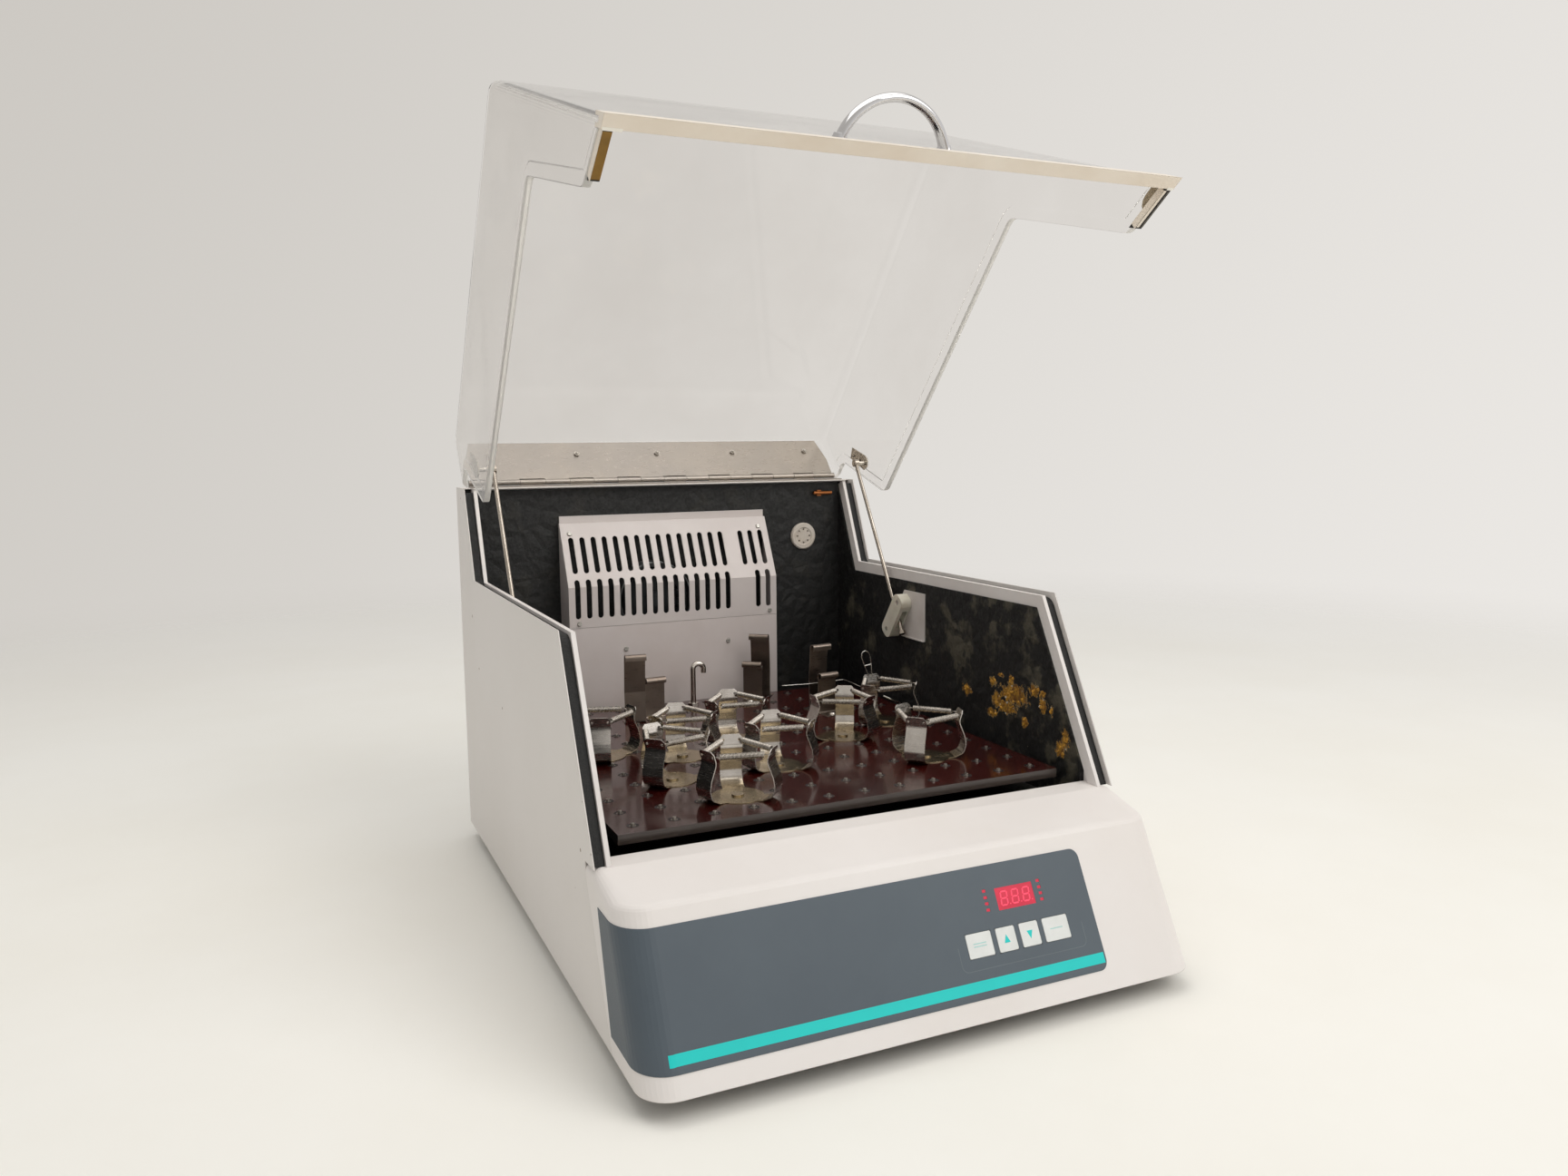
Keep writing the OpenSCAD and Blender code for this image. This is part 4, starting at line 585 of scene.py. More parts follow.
def on_panel(x, s, lift):
    """A place on the control panel: x across, s down from its top, lift out of it."""
    flat = PANEL_TOP + PANEL_DOWN * s + PANEL_OUT * lift
    if x >= CORNER_X:
        return Vector((x, flat.x, flat.y))
    reach = CORNER_R + lift
    angle = math.asin(min(1, (CORNER_X - x) / reach))
    face = PANEL_TOP + PANEL_DOWN * s
    return Vector((x, face.x + CORNER_R - reach * math.cos(angle), face.y))


def bar(x0, x1, s0, s1, r, low=PRINT_FROM, high=PRINT_TO):
    """A flat bar with round corners on the control panel."""
    return slab(rounded_rectangle(x0, x1, s0, s1, r, 3), on_panel, low, high)


def swung(x, y, z):
    """A place drawn on the closed lid, moved to where it is with the lid open."""
    turn = Matrix.Rotation(math.radians(-LID_OPEN), 3, "X")
    from_hinge = Vector((0, y - HINGE.x, z - HINGE.y))
    return turn @ from_hinge + Vector((x, HINGE.x, HINGE.y))


def hole(column, row):
    """The middle of one of the platform's holes."""
    first = -(HOLE_COUNT - 1) / 2
    return (first + column) * HOLE_PITCH, PLATFORM_Y + (first + row) * HOLE_PITCH


def under_lid(x, u, w):
    """A place along the lid's lower edge: u forward from the deck's fold, w above the deck."""
    p = DECK_FOLD + DECK_DIR * u + DECK_UP * w
    return swung(x, p.x, p.y)


def edge_strip(x0, x1, u0, u1, low, high):
    """A flat strip along the lid's lower edge."""
    return slab([(x0, u0), (x1, u0), (x1, u1), (x0, u1)], under_lid, low, high)


def on_front_sheet(x, s, out):
    """A place on the lid's front sheet: s up from its foot, out of the sheet."""
    p = LID_FOOT + FRONT_DIR * s + FRONT_OUT * out
    return swung(x, p.x, p.y)


# Operators, one for each piece or group of pieces

class ShakerOperator:
    """What the shaker's operators share."""

    bl_options = {"REGISTER", "UNDO"}


class SHAKER_OT_cabinet(ShakerOperator, bpy.types.Operator):
    """Paint the side panels, the rear cover, the base pan and the bezel"""

    bl_idname = "shaker.cabinet"
    bl_label = "Cabinet"

    def execute(self, context):
        look = context.scene.shaker_cabinet
        coat(
            "left_side_panel right_side_panel rear_cover", "cabinet_paint", look.paint,
            tint=(208, 202, 195), drift=(3.2, 0.35), rough=(0.36, 0.46), grain=(900, 0.12),
            edge_r=1.0, edge_colour=(170, 160, 148), edge_share=look.wear,
            specks=((128, 108, 84), 38, 0.10, 0.05), scratch=0.5)
        coat(
            "front_bezel", "bezel_plastic", look.bezel, tint=(219, 211, 204), drift=(4.5, 0.4),
            rough=(0.34, 0.44), grain=(1500, 0.10), edge_r=0.8, edge_colour=(148, 122, 94),
            edge_share=look.wear, specks=((96, 82, 66), 30, 0.09, 0.07), scratch=0.6)
        coat(
            "base_pan", "base_sheet", (168, 168, 166), drift=(8, 0.5), rough=(0.38, 0.52),
            metallic=0.9, grain=(240, 0.2), stretch=(1, 9, 1))
        coat(
            "rubber_feet", "foot_rubber", (38, 37, 36), drift=(30, 0.5), rough=(0.68, 0.85),
            grain=(700, 0.4), edge_r=0.8)
        coat(
            "cabinet_screws", "zinc_screws", (190, 188, 182), drift=(60, 0.6), rough=(0.24, 0.4),
            metallic=1, grain=(1800, 0.25), edge_r=0.3)
        return {"FINISHED"}


class SHAKER_OT_control_panel(ShakerOperator, bpy.types.Operator):
    """Finish the control panel and add its stripe, outline, key signs, digits and lamp marks"""

    bl_idname = "shaker.control_panel"
    bl_label = "Control panel"

    def execute(self, context):
        look = context.scene.shaker_panel
        coat(
            "control_overlay", "slate_skin", look.skin, tint=(84, 95, 103), drift=(7, 0.55),
            rough=(0.42, 0.52), grain=(2200, 0.10), edge_r=0.3, edge_colour=(150, 152, 152),
            edge_share=0.35, specks=((222, 220, 214), 24, 0.055, 0.16), scratch=0.35)
        teal = finish(
            "teal_print", look.stripe, tint=(0, 190, 188), drift=(12, 0.4), rough=(0.38, 0.46),
            grain=(2200, 0.05), edge_r=0.1, specks=((150, 222, 218), 60, 0.08, 0.06))[0]
        left, right = look.stripe_from * 1000, look.stripe_to * 1000
        top, foot = STRIPE_S - look.stripe_w * 500, STRIPE_S + look.stripe_w * 500
        bends = [left + (CORNER_X - left) * i / 4 for i in range(4)]
        xs = [x for x in bends if x < CORNER_X] + [CORNER_X, -100, 40, right]
        stripe = band([(x, top) for x in xs], [(x, foot) for x in xs], on_panel,
                      PRINT_FROM, STRIPE_TO)
        add_piece("panel_stripe", *stripe, CABINET, teal, "control_overlay")

        line = finish(
            "outline_print", (98, 108, 114), drift=(40, 0.6), rough=(0.4, 0.5), grain=(2000, 0.05),
            edge_r=0.1)[0]
        outer = rounded_rectangle(21, 150, 27, 100, 6)
        inner = rounded_rectangle(21.6, 149.4, 27.6, 99.4, 5.4)
        outline = band(outer + outer[:1], inner + inner[:1], on_panel,
                       PRINT_FROM, PRINT_TO)
        add_piece("keypad_outline", *outline, CABINET, line, "control_overlay")

        coat(
            "key_start_stop key_up key_down key_select", "key_plastic", look.key,
            tint=(208, 212, 208), drift=(60, 0.5), rough=(0.34, 0.42), grain=(1800, 0.06),
            edge_r=0.5)
        self.add_key_signs(teal)
        self.add_display(look)
        return {"FINISHED"}

    def add_key_signs(self, teal):
        low, high = KEY_TOP + 0.01, KEY_TOP + 0.1
        up_x = KEY_X[1] + KEY_W[1] / 2
        down_x = KEY_X[2] + KEY_W[2] / 2
        up = slab([(up_x - 3, KEY_S + 3), (up_x + 3, KEY_S + 3), (up_x, KEY_S - 4)],
                  on_panel, low, high)
        add_piece("up_sign", *up, "up_key", teal, "key_up")
        down = slab([(down_x - 3, KEY_S - 3), (down_x, KEY_S + 4), (down_x + 3, KEY_S - 3)],
                    on_panel, low, high)
        add_piece("down_sign", *down, "down_key", teal, "key_down")
        pale = finish(
            "pale_print", (168, 214, 210), drift=(80, 0.5), rough=(0.4, 0.5), grain=(1500, 0.05),
            edge_r=0.1)[0]
        for name, body, node, index, rows in (
                ("start_bars", "start_key", "key_start_stop", 0, (-1.8, 0.6)),
                ("select_bar", "select_key", "key_select", 3, (-0.6,))):
            middle = KEY_X[index] + KEY_W[index] / 2
            bars = [bar(middle - 6.5, middle + 6.5, KEY_S + s, KEY_S + s + 0.8, 0.3, low, high)
                    for s in rows]
            add_piece(name, *joined(bars), body, pale, node)

    def add_display(self, look):
        glass = finish(
            "display_red", look.window, tint=(150, 10, 40), drift=(50, 0.4), rough=(0.12, 0.2),
            grain=(900, 0.03), edge_r=0.2, Coat_Weight=0.4)
        # The window glows a little in its own red: a painted glow, as the window itself is no lamp.
        glass[2].inputs["Emission Color"].default_value = rgba(look.window)
        glass[2].inputs["Emission Strength"].default_value = 0.3
        dress(glass[0], "display_window")
        bright = finish(
            "digit_red", look.digit, drift=(80, 0.3), rough=(0.3, 0.4), grain=(900, 0.02),
            edge_r=0.1)
        bright[2].inputs["Emission Color"].default_value = rgba(look.digit)
        bright[2].inputs["Emission Strength"].default_value = 0.35
        digits = []
        for column in (-11.5, 0, 11.5):
            x, s = WINDOW[0] + column, WINDOW[1]
            digits += self.digit(x, s, 6.4, 11.4, 1.3)
            digits.append(bar(x + 4.6, x + 5.8, s + 4.8, s + 6, 0.5))
        add_piece("display_digits", *joined(digits), CABINET, bright[0], "display_window")

        board, tree, shader, last = finish(
            "display_board_green", (24, 70, 46), drift=(60, 0.5), rough=(0.35, 0.5),
            grain=(1200, 0.2), edge_r=0.2, specks=((188, 170, 110), 260, 0.3, 0.2))
        depth = dot(tree, place_of(tree), (0, PANEL_OUT.x, PANEL_OUT.y))
        face = PANEL_TOP.dot(PANEL_OUT) * 0.001
        lamp = math_node(tree, "GREATER_THAN", depth, face - LAMP_DEPTH * 0.001)
        red = mix_colour(tree, lamp, last, rgba(look.window))
        tree.links.new(red, shader.inputs["Base Color"])
        glow = mix_colour(tree, lamp, (0, 0, 0, 1), rgba(look.window))
        tree.links.new(glow, shader.inputs["Emission Color"])
        shader.inputs["Emission Strength"].default_value = 0.25
        dress(board, "display_board")

        white = finish(
            "mark_print", (206, 208, 206), drift=(80, 0.4), rough=(0.4, 0.5), grain=(1500, 0.05),
            edge_r=0.1)[0]
        bars = [bar(right - wide, right, s + down - 0.6, s + down + 0.6, 0.4)
                for right, down, widths in ((53.5, 0, (9, 6, 7.5, 8)), (137, -2, (8, 7, 3, 2.4)))
                for s, wide in zip(LAMP_S, widths)]
        add_piece("lamp_marks", *joined(bars), CABINET, white, "control_overlay")

    def digit(self, x, s, wide, tall, thick):
        """Seven bars of one digit, leaning a little to the right."""
        half_w, half_h = wide / 2, tall / 2
        parts = []
        for dx, ds, across in ((0, -half_h, True), (0, 0, True), (0, half_h, True),
                               (-half_w, -half_h / 2, False), (half_w, -half_h / 2, False),
                               (-half_w, half_h / 2, False), (half_w, half_h / 2, False)):
            long = (wide if across else half_h) / 2 - 0.25
            t = thick / 2
            shape = [(-long, 0), (-long + t, -t), (long - t, -t), (long, 0),
                     (long - t, t), (-long + t, t)]
            if not across:
                shape = [(b, -a) for a, b in shape]
            outline = [(x + dx + a - 0.12 * (ds + b), s + ds + b) for a, b in shape]
            parts.append(slab(outline, on_panel, PRINT_FROM, PRINT_TO))
        return parts


class SHAKER_OT_chamber(ShakerOperator, bpy.types.Operator):
    """Finish the chamber's liner, torn insulation, floor, strips, probe and vent"""

    bl_idname = "shaker.chamber"
    bl_label = "Chamber"

    # patches of bare foam on the right wall: (y, z), reach along y and z
    TORN = [((-121, 221), (23, 10)), ((-108, 204), (17, 7)), ((-89, 209), (8, 8)),
            ((-82, 229), (6, 6)), ((-97, 238), (5, 2.4)), ((-115, 234), (4, 7)),
            ((-81, 193), (9, 4.5)), ((-31, 210), (8, 6)), ((-157, 232), (9, 6)),
            ((-170, 230), (6, 4)), ((-172, 219), (7, 8)), ((-141, 194), (5.5, 5.5)),
            ((-209, 191), (6, 11)), ((-201, 179), (8, 8)), ((-186, 216), (2.4, 5))]

    def execute(self, context):
        look = context.scene.shaker_cabinet
        coat(
            "chamber_liner", "liner_white", look.band, tint=(205, 196, 190), drift=(9, 0.45),
            rough=(0.36, 0.48), grain=(700, 0.12), edge_r=0.5, edge_colour=(120, 112, 104),
            edge_share=look.wear, specks=((60, 54, 48), 46, 0.10, 0.08))
        dress(self.insulation(look), "wall_insulation")
        coat(
            "chamber_floor", "chamber_floor_sheet", (34, 32, 30), drift=(10, 0.6), rough=(0.4, 0.6),
            metallic=0.3, grain=(300, 0.2), specks=((120, 108, 92), 120, 0.16, 0.2))
        coat(
            "channel_weatherstrips", "strip_rubber", (16, 16, 16), drift=(20, 0.5),
            rough=(0.6, 0.8), grain=(900, 0.5), edge_r=0.6, specks=((90, 86, 78), 160, 0.12, 0.15))
        coat(
            "temperature_probe", "probe_copper", (150, 92, 52), drift=(60, 0.5), rough=(0.3, 0.45),
            metallic=0.9, grain=(900, 0.1), edge_r=0.3)
        coat(
            "vent_plug", "vent_plastic", (206, 198, 188), tint=(176, 160, 142), drift=(40, 0.6),
            rough=(0.4, 0.5), grain=(900, 0.1), edge_r=0.6, edge_colour=(120, 104, 88),
            edge_share=0.4)
        self.add_flakes(look)
        return {"FINISHED"}

    def insulation(self, look):
        """Black crinkled skin, filmed with olive grey that is partly a painted sheen, and torn down
        to the foam.
        """
        material, tree, shader, last = finish(
            "wall_foam", look.insulation, tint=(9, 9, 8), drift=(16, 0.8), rough=(0.5, 0.78),
            grain=(260, 0.8), edge_r=0.8, specks=((150, 146, 132), 90, 0.07, 0.10))
        where = place_of(tree)
        # The olive grey mottle: partly a real film, partly a painted sheen on the crinkles, much
        # stronger on the right wall than elsewhere.
        right = math_node(tree, "GREATER_THAN", axis(tree, where, "X"), (WALL_X - 1) * 0.001)
        film_and_sheen, coarse = (effect(tree, "Tone Drift", Scale=scale, Amount=1).outputs["Mask"]
                        for scale in (38, 11))
        film_and_sheen_share = ramp(tree, math_node(tree, "MULTIPLY", film_and_sheen, coarse), 0.16, 0.34)
        last = mix_colour(tree, math_node(tree, "MULTIPLY", film_and_sheen_share, ramp(
            tree, right, 0, 1, 0.1, 0.85)), last, rgba(look.mottle_and_sheen))
        patches = [effect(tree, "Ragged Patch", Center=mm((WALL_X, y, z)),
                          Reach=mm((6, reach_y, reach_z)), Ragged=3.2, Scale=210)
                   for (y, z), (reach_y, reach_z) in self.TORN]
        torn, rim = (over_all(tree, "MAXIMUM", *(patch.outputs[mask] for patch in patches))
                     for mask in ("Mask", "Rim"))
        bare = effect(tree, "Tone Drift", Color=rgba(look.foam), Tint=rgba(srgb(88, 44, 12)),
                      Scale=170, Amount=1)
        # Near black flecks on the bare foam: painted shade in its pits.
        pit_shade = effect(tree, "Tone Drift", Color=bare.outputs["Color"],
                        Tint=rgba(srgb(14, 6, 3)), Scale=420, Amount=0.9)
        last = mix_colour(tree, torn, last, pit_shade.outputs["Color"])
        last = mix_colour(tree, over_all(tree, "MULTIPLY", rim, film_and_sheen, 0.8), last,
                          rgba(srgb(206, 184, 132)))
        tree.links.new(last, shader.inputs["Base Color"])
        crinkle = add(tree, "ShaderNodeTexVoronoi", {
            "Vector": where, "Scale": 46}, feature="DISTANCE_TO_EDGE")
        fold = ramp(tree, crinkle.outputs["Distance"], 0, 0.3)
        deep = math_node(tree, "SUBTRACT", math_node(tree, "ADD", fold, film_and_sheen),
                         math_node(tree, "MULTIPLY", torn, 2.0))
        old = shader.inputs["Normal"].links[0].from_socket
        bump = add(tree, "ShaderNodeBump", {
            "Strength": 0.6, "Distance": 0.0012, "Height": deep, "Normal": old})
        tree.links.new(bump.outputs[0], shader.inputs["Normal"])
        return material

    def add_flakes(self, look):
        """Lifted shreds of foam and backing paper round the torn patches."""
        foam = finish(
            "foam_shreds", look.foam, tint=(110, 66, 18), drift=(150, 0.8), rough=(0.7, 0.9),
            grain=(500, 0.9), edge_r=0.2)[0]
        paper = finish(
            "paper_shreds", (206, 200, 186), tint=(150, 140, 120), drift=(150, 0.6),
            rough=(0.6, 0.8), grain=(700, 0.4), edge_r=0.2)[0]
        seed = random.Random(41)
        shreds = {"foam_shreds": [], "paper_shreds": []}
        for (y, z), (reach_y, reach_z) in self.TORN:
            for _ in range(int(3 + reach_y * reach_z / 14)):
                angle = seed.uniform(0, 2 * math.pi)
                far = math.sqrt(seed.random())
                middle = (y + far * reach_y * math.cos(angle),
                          z + far * reach_z * math.sin(angle))
                size = seed.uniform(1.0, 3.0)
                paper_one = far > 0.72 and seed.random() < 0.45
                shreds["paper_shreds" if paper_one else "foam_shreds"].append(
                    self.shred(seed, middle, size * (0.7 if paper_one else 1)))
        for name, material in (("foam_shreds", foam), ("paper_shreds", paper)):
            add_piece(name, *joined(shreds[name]), CABINET, material, "wall_insulation")

    def shred(self, seed, middle, size):
        """One low ragged lump: a rim on the wall, a raised rough crown."""
        count = seed.choice((6, 7, 8, 9))
        rim, crown = [], []
        lean = (seed.uniform(-0.4, 0.4), seed.uniform(-0.4, 0.4))
        for k in range(count):
            angle = 2 * math.pi * k / count
            r = size * seed.uniform(0.55, 1.1)
            dy, dz = r * math.cos(angle), r * math.sin(angle)
            rim.append(mm((WALL_X + 0.3, middle[0] + dy, middle[1] + dz)))
            rise = seed.uniform(0.5, 1.6) * min(1, size / 3)
            crown.append(mm((WALL_X - rise, middle[0] + dy * 0.6 + lean[0],
                             middle[1] + dz * 0.6 + lean[1])))
        top = mm((WALL_X - seed.uniform(0.8, 2.0) * min(1, size / 3), middle[0], middle[1]))
        points = rim + crown + [top]
        faces = [(k, (k + 1) % count, count + (k + 1) % count, count + k)
                 for k in range(count)]
        faces += [(count + k, count + (k + 1) % count, 2 * count) for k in range(count)]
        faces.append(tuple(range(count - 1, -1, -1)))
        return points, faces


class SHAKER_OT_blower(ShakerOperator, bpy.types.Operator):
    """Finish the blower's cover, lower panel, wheel, motor and heater"""

    bl_idname = "shaker.blower"
    bl_label = "Blower and heater"

    def execute(self, context):
        coat(
            "blower_cover", "cover_paint", (205, 197, 194), tint=(186, 174, 170), drift=(8, 0.5),
            rough=(0.36, 0.46), grain=(800, 0.12), edge_r=0.6, edge_colour=(150, 140, 134),
            edge_share=0.5, specks=((120, 104, 84), 60, 0.08, 0.08), scratch=0.4)
        coat(
            "blower_lower_panel", "lower_cover_paint", (206, 197, 194), tint=(190, 176, 170),
            drift=(7, 0.6), rough=(0.4, 0.5), grain=(800, 0.12), edge_r=0.6,
            edge_colour=(150, 140, 134), edge_share=0.5, specks=((150, 122, 66), 42, 0.09, 0.16),
            scratch=0.5)
        coat(
            "blower_housing", "housing_zinc", (150, 152, 152), tint=(112, 114, 114),
            drift=(26, 0.6), rough=(0.34, 0.5), metallic=0.9, grain=(300, 0.2))
        coat(
            "blower_impeller", "fan_wheel", (60, 62, 64), drift=(30, 0.5), rough=(0.3, 0.45),
            metallic=0.8, grain=(400, 0.2), edge_r=0.3)
        coat(
            "blower_motor drive_motor", "motor_enamel", (34, 36, 38), drift=(24, 0.6),
            rough=(0.4, 0.55), grain=(500, 0.4), edge_colour=(120, 120, 118), edge_share=0.6)
        coat(
            "heater_element", "heater_sheath", (108, 96, 82), tint=(70, 60, 66), drift=(40, 0.8),
            rough=(0.4, 0.6), metallic=0.9, grain=(600, 0.3))
        return {"FINISHED"}


class SHAKER_OT_drive(ShakerOperator, bpy.types.Operator):
    """Finish the orbit drive under the platform"""

    bl_idname = "shaker.drive"
    bl_label = "Orbit drive"

    def execute(self, context):
        coat(
            "drive_frame", "frame_casting", (92, 98, 104), drift=(14, 0.5), rough=(0.5, 0.66),
            metallic=0.2, grain=(260, 0.7), edge_r=1.0, edge_colour=(150, 152, 152), edge_share=0.5)
        coat(
            "counterweight", "counterweight_iron", (58, 56, 54), tint=(78, 58, 44), drift=(30, 0.6),
            rough=(0.55, 0.7), metallic=0.7, grain=(240, 0.8), edge_r=0.8)
        coat(
            "main_crankshaft idler_crank_left idler_crank_right", "turned_steel", (178, 178, 176),
            drift=(20, 0.5), rough=(0.18, 0.3), metallic=1, grain=(120, 0.2), stretch=(1, 1, 30),
            edge_r=0.5)
        coat(
            "shaft_bearings carrier_bearings", "bearing_steel", (150, 150, 150), drift=(40, 0.5),
            rough=(0.14, 0.24), metallic=1, grain=(600, 0.08), edge_r=0.4)
        coat(
            "driven_pulley motor_pulley", "pulley_aluminium", (196, 198, 200), drift=(18, 0.4),
            rough=(0.26, 0.38), metallic=1, grain=(140, 0.2), stretch=(1, 1, 26), edge_r=0.5)
        coat(
            "drive_belt", "belt_rubber", (22, 22, 23), drift=(30, 0.5), rough=(0.6, 0.76),
            grain=(500, 0.8), stretch=(1, 1, 8), edge_r=0.4)
        coat(
            "carrier_plate", "carrier_aluminium", (170, 172, 174), drift=(9, 0.5),
            rough=(0.34, 0.48), metallic=0.95, grain=(160, 0.2), stretch=(1, 14, 1), edge_r=0.8)
        return {"FINISHED"}


class SHAKER_OT_electrics(ShakerOperator, bpy.types.Operator):
    """Finish the control board, the power inlet and its rocker"""

    bl_idname = "shaker.electrics"
    bl_label = "Electrics"

    def execute(self, context):
        coat(
            "control_board", "board_green", (26, 78, 50), tint=(18, 52, 36), drift=(90, 0.7),
            rough=(0.34, 0.5), grain=(900, 0.3), edge_r=0.2,
            specks=((190, 176, 120), 210, 0.28, 0.25))
        coat(
            "power_inlet", "inlet_moulding", (24, 24, 25), drift=(30, 0.5), rough=(0.42, 0.54),
            grain=(900, 0.25), edge_r=0.5, edge_colour=(70, 70, 70), edge_share=0.5)
        coat(
            "power_rocker", "rocker_gloss", (18, 18, 19), drift=(60, 0.5), rough=(0.2, 0.3),
            grain=(900, 0.05), edge_r=0.6)
        return {"FINISHED"}


class SHAKER_OT_platform(ShakerOperator, bpy.types.Operator):
    """Finish the platform and line its holes with bright threaded inserts"""

    bl_idname = "shaker.platform"
    bl_label = "Platform"

    def execute(self, context):
        look = context.scene.shaker_platform
        material, tree, shader, last = finish(
            "platform_gloss", look.board, tint=(36, 8, 7), drift=(9, 0.7), rough=(0.12, 0.24),
            grain=(500, 0.06), edge_r=0.4, specks=((190, 178, 168), 130, 0.055, 0.10), scratch=0.3,
            Coat_Weight=0.35)
        shader.inputs["Coat Roughness"].default_value = 0.08
        facing = axis(tree, add(tree, "ShaderNodeNewGeometry").outputs["True Normal"], "Z")
        side = math_node(tree, "LESS_THAN", math_node(tree, "ABSOLUTE", facing), 0.5)
        layers = effect(tree, "Grain", Stretch=(1, 1, 60), Scale=24, Detail=2)
        sawn = mix_colour(tree, layers.outputs["Height"], rgba(look.board_edge),
                          rgba(srgb(38, 30, 26)))
        tree.links.new(mix_colour(tree, side, last, sawn), shader.inputs["Base Color"])
        dress(material, "platform")
        bright = coat(
            "platform_screws", "insert_steel", (200, 194, 186), drift=(60, 0.6), rough=(0.22, 0.36),
            metallic=1, grain=(900, 0.15), edge_r=0.2)
        inserts, shade_rings = [], []
        clamped = [clamp[:2] for clamp in CLAMPS]
        for column in range(HOLE_COUNT):
            for row in range(HOLE_COUNT):
                centre = hole(column, row)
                inserts.append(ring_tube(INSERT_R - 0.02, 2.2, PLATFORM_TOP - 8,
                                         PLATFORM_TOP - 0.15, centre))
                if (column, row) not in clamped:
                    inserts.append(ring_tube(GLINT_R, 0.9, PLATFORM_TOP - 7,
                                             PLATFORM_TOP + GLINT_TOP, centre, 10))
                    # A dark flat ring round each open hole: painted shade standing in for a
                    # countersink.
                    shade_rings.append(ring_tube(SHADE_RING_R, INSERT_R, PLATFORM_TOP + 0.02,
                                            PLATFORM_TOP + 0.08, centre))
        add_piece("hole_inserts", *joined(inserts), PLATFORM, bright, "platform_screws")
        # Near black colour of the rings: painted shade.
        dark = finish(
            "hole_shade", (16, 6, 5), tint=(30, 12, 10), drift=(60, 0.6), rough=(0.4, 0.6),
            grain=(700, 0.1), edge_r=0.1)[0]
        add_piece("hole_shade_rings", *joined(shade_rings), PLATFORM, dark, "platform")
        return {"FINISHED"}


class SHAKER_OT_clamps(ShakerOperator, bpy.types.Operator):
    """Finish the flask clamps, the rack clips and the hook rod"""

    bl_idname = "shaker.clamps"
    bl_label = "Clamps and clips"

    def execute(self, context):
        look = context.scene.shaker_platform
        material, tree, shader, last = finish(
            "clamp_steel", look.steel, tint=(150, 142, 134), drift=(34, 0.6), rough=(0.16, 0.3),
            metallic=1, grain=(60, 0.12), stretch=(1, 1, 18), edge_r=0.3, scratch=0.3)
        height = axis(tree, place_of(tree), "Z")
        base = ramp(tree, height, (PLATFORM_TOP + 9) * 0.001, (PLATFORM_TOP + 1) * 0.001)
        tinted = mix_colour(tree, base, last, rgba(look.base_tint))
        tree.links.new(tinted, shader.inputs["Base Color"])
        dress(material, "flask_clamps")

        coat(
            "rack_clips", "clip_steel", look.clip, tint=(112, 98, 88), drift=(22, 0.7),
            rough=(0.26, 0.42), metallic=1, grain=(90, 0.2), stretch=(1, 1, 12), edge_r=0.4,
            edge_colour=(224, 220, 212), edge_share=0.8, scratch=0.4)
        coat(
            "hook_rod", "hook_steel", (206, 200, 192), drift=(40, 0.5), rough=(0.14, 0.26),
            metallic=1, grain=(300, 0.1), edge_r=0.5)
        return {"FINISHED"}


class SHAKER_OT_springs(ShakerOperator, bpy.types.Operator):
    """Wind the three coil springs of every clamp, with their hooks in the tabs' eyes"""

    bl_idname = "shaker.springs"
    bl_label = "Clamp springs"

    def execute(self, context):
        look = context.scene.shaker_platform
        wire_r, coil_r = look.wire_r * 1000, look.coil_r * 1000
        sin60, cos60 = math.sin(math.radians(60)), math.cos(math.radians(60))
        girdle_r = TAB_MID * cos60 + EYE_X * sin60
        reach = TAB_MID * sin60 - EYE_X * cos60 + 1.4
        length = 2 * (reach - HOOK)
        path = self.coil(coil_r, length, look.curls)
        springs = []
        for column, row, turn in CLAMPS:
            clamp = Matrix.Translation((*hole(column, row), PLATFORM_TOP))
            clamp = clamp @ Matrix.Rotation(math.radians(turn), 4, "Z")
            for side in (60, 180, 300):
                place = (clamp @ Matrix.Rotation(math.radians(side), 4, "Z")
                         @ Matrix.Translation((girdle_r, 0, CLAMP_H - 5))
                         @ Matrix.Rotation(math.radians(90), 4, "X")
                         @ Matrix.Translation((0, 0, -length / 2)))
                springs.append(tube([place @ p for p in path], wire_r, 6))
        steel = finish(
            "spring_steel", (196, 190, 182), tint=(150, 142, 134), drift=(60, 0.6),
            rough=(0.2, 0.34), metallic=1, grain=(500, 0.1), edge_r=0.1)[0]
        piece = add_piece("coil_springs", *joined(springs), PLATFORM, steel,
                          "clamp_springs", smooth=True)
        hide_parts("clamp_springs")
        return {"FINISHED"}

    def coil(self, coil_r, length, curls, steps=8):
        """The wire's middle line: a hook, the curls and a hook."""
        path = [Vector((0, 0, -HOOK)), Vector((0, 0, -1.6)), Vector((coil_r * 0.5, 0, -0.9))]
        for i in range(curls * steps + 1):
            angle = 2 * math.pi * i / steps
            path.append(Vector((coil_r * math.cos(angle), coil_r * math.sin(angle),
                                length * i / (curls * steps))))
        return path + [Vector((coil_r * 0.5, 0, length + 0.9)),
                       Vector((0, 0, length + 1.6)), Vector((0, 0, length + HOOK))]


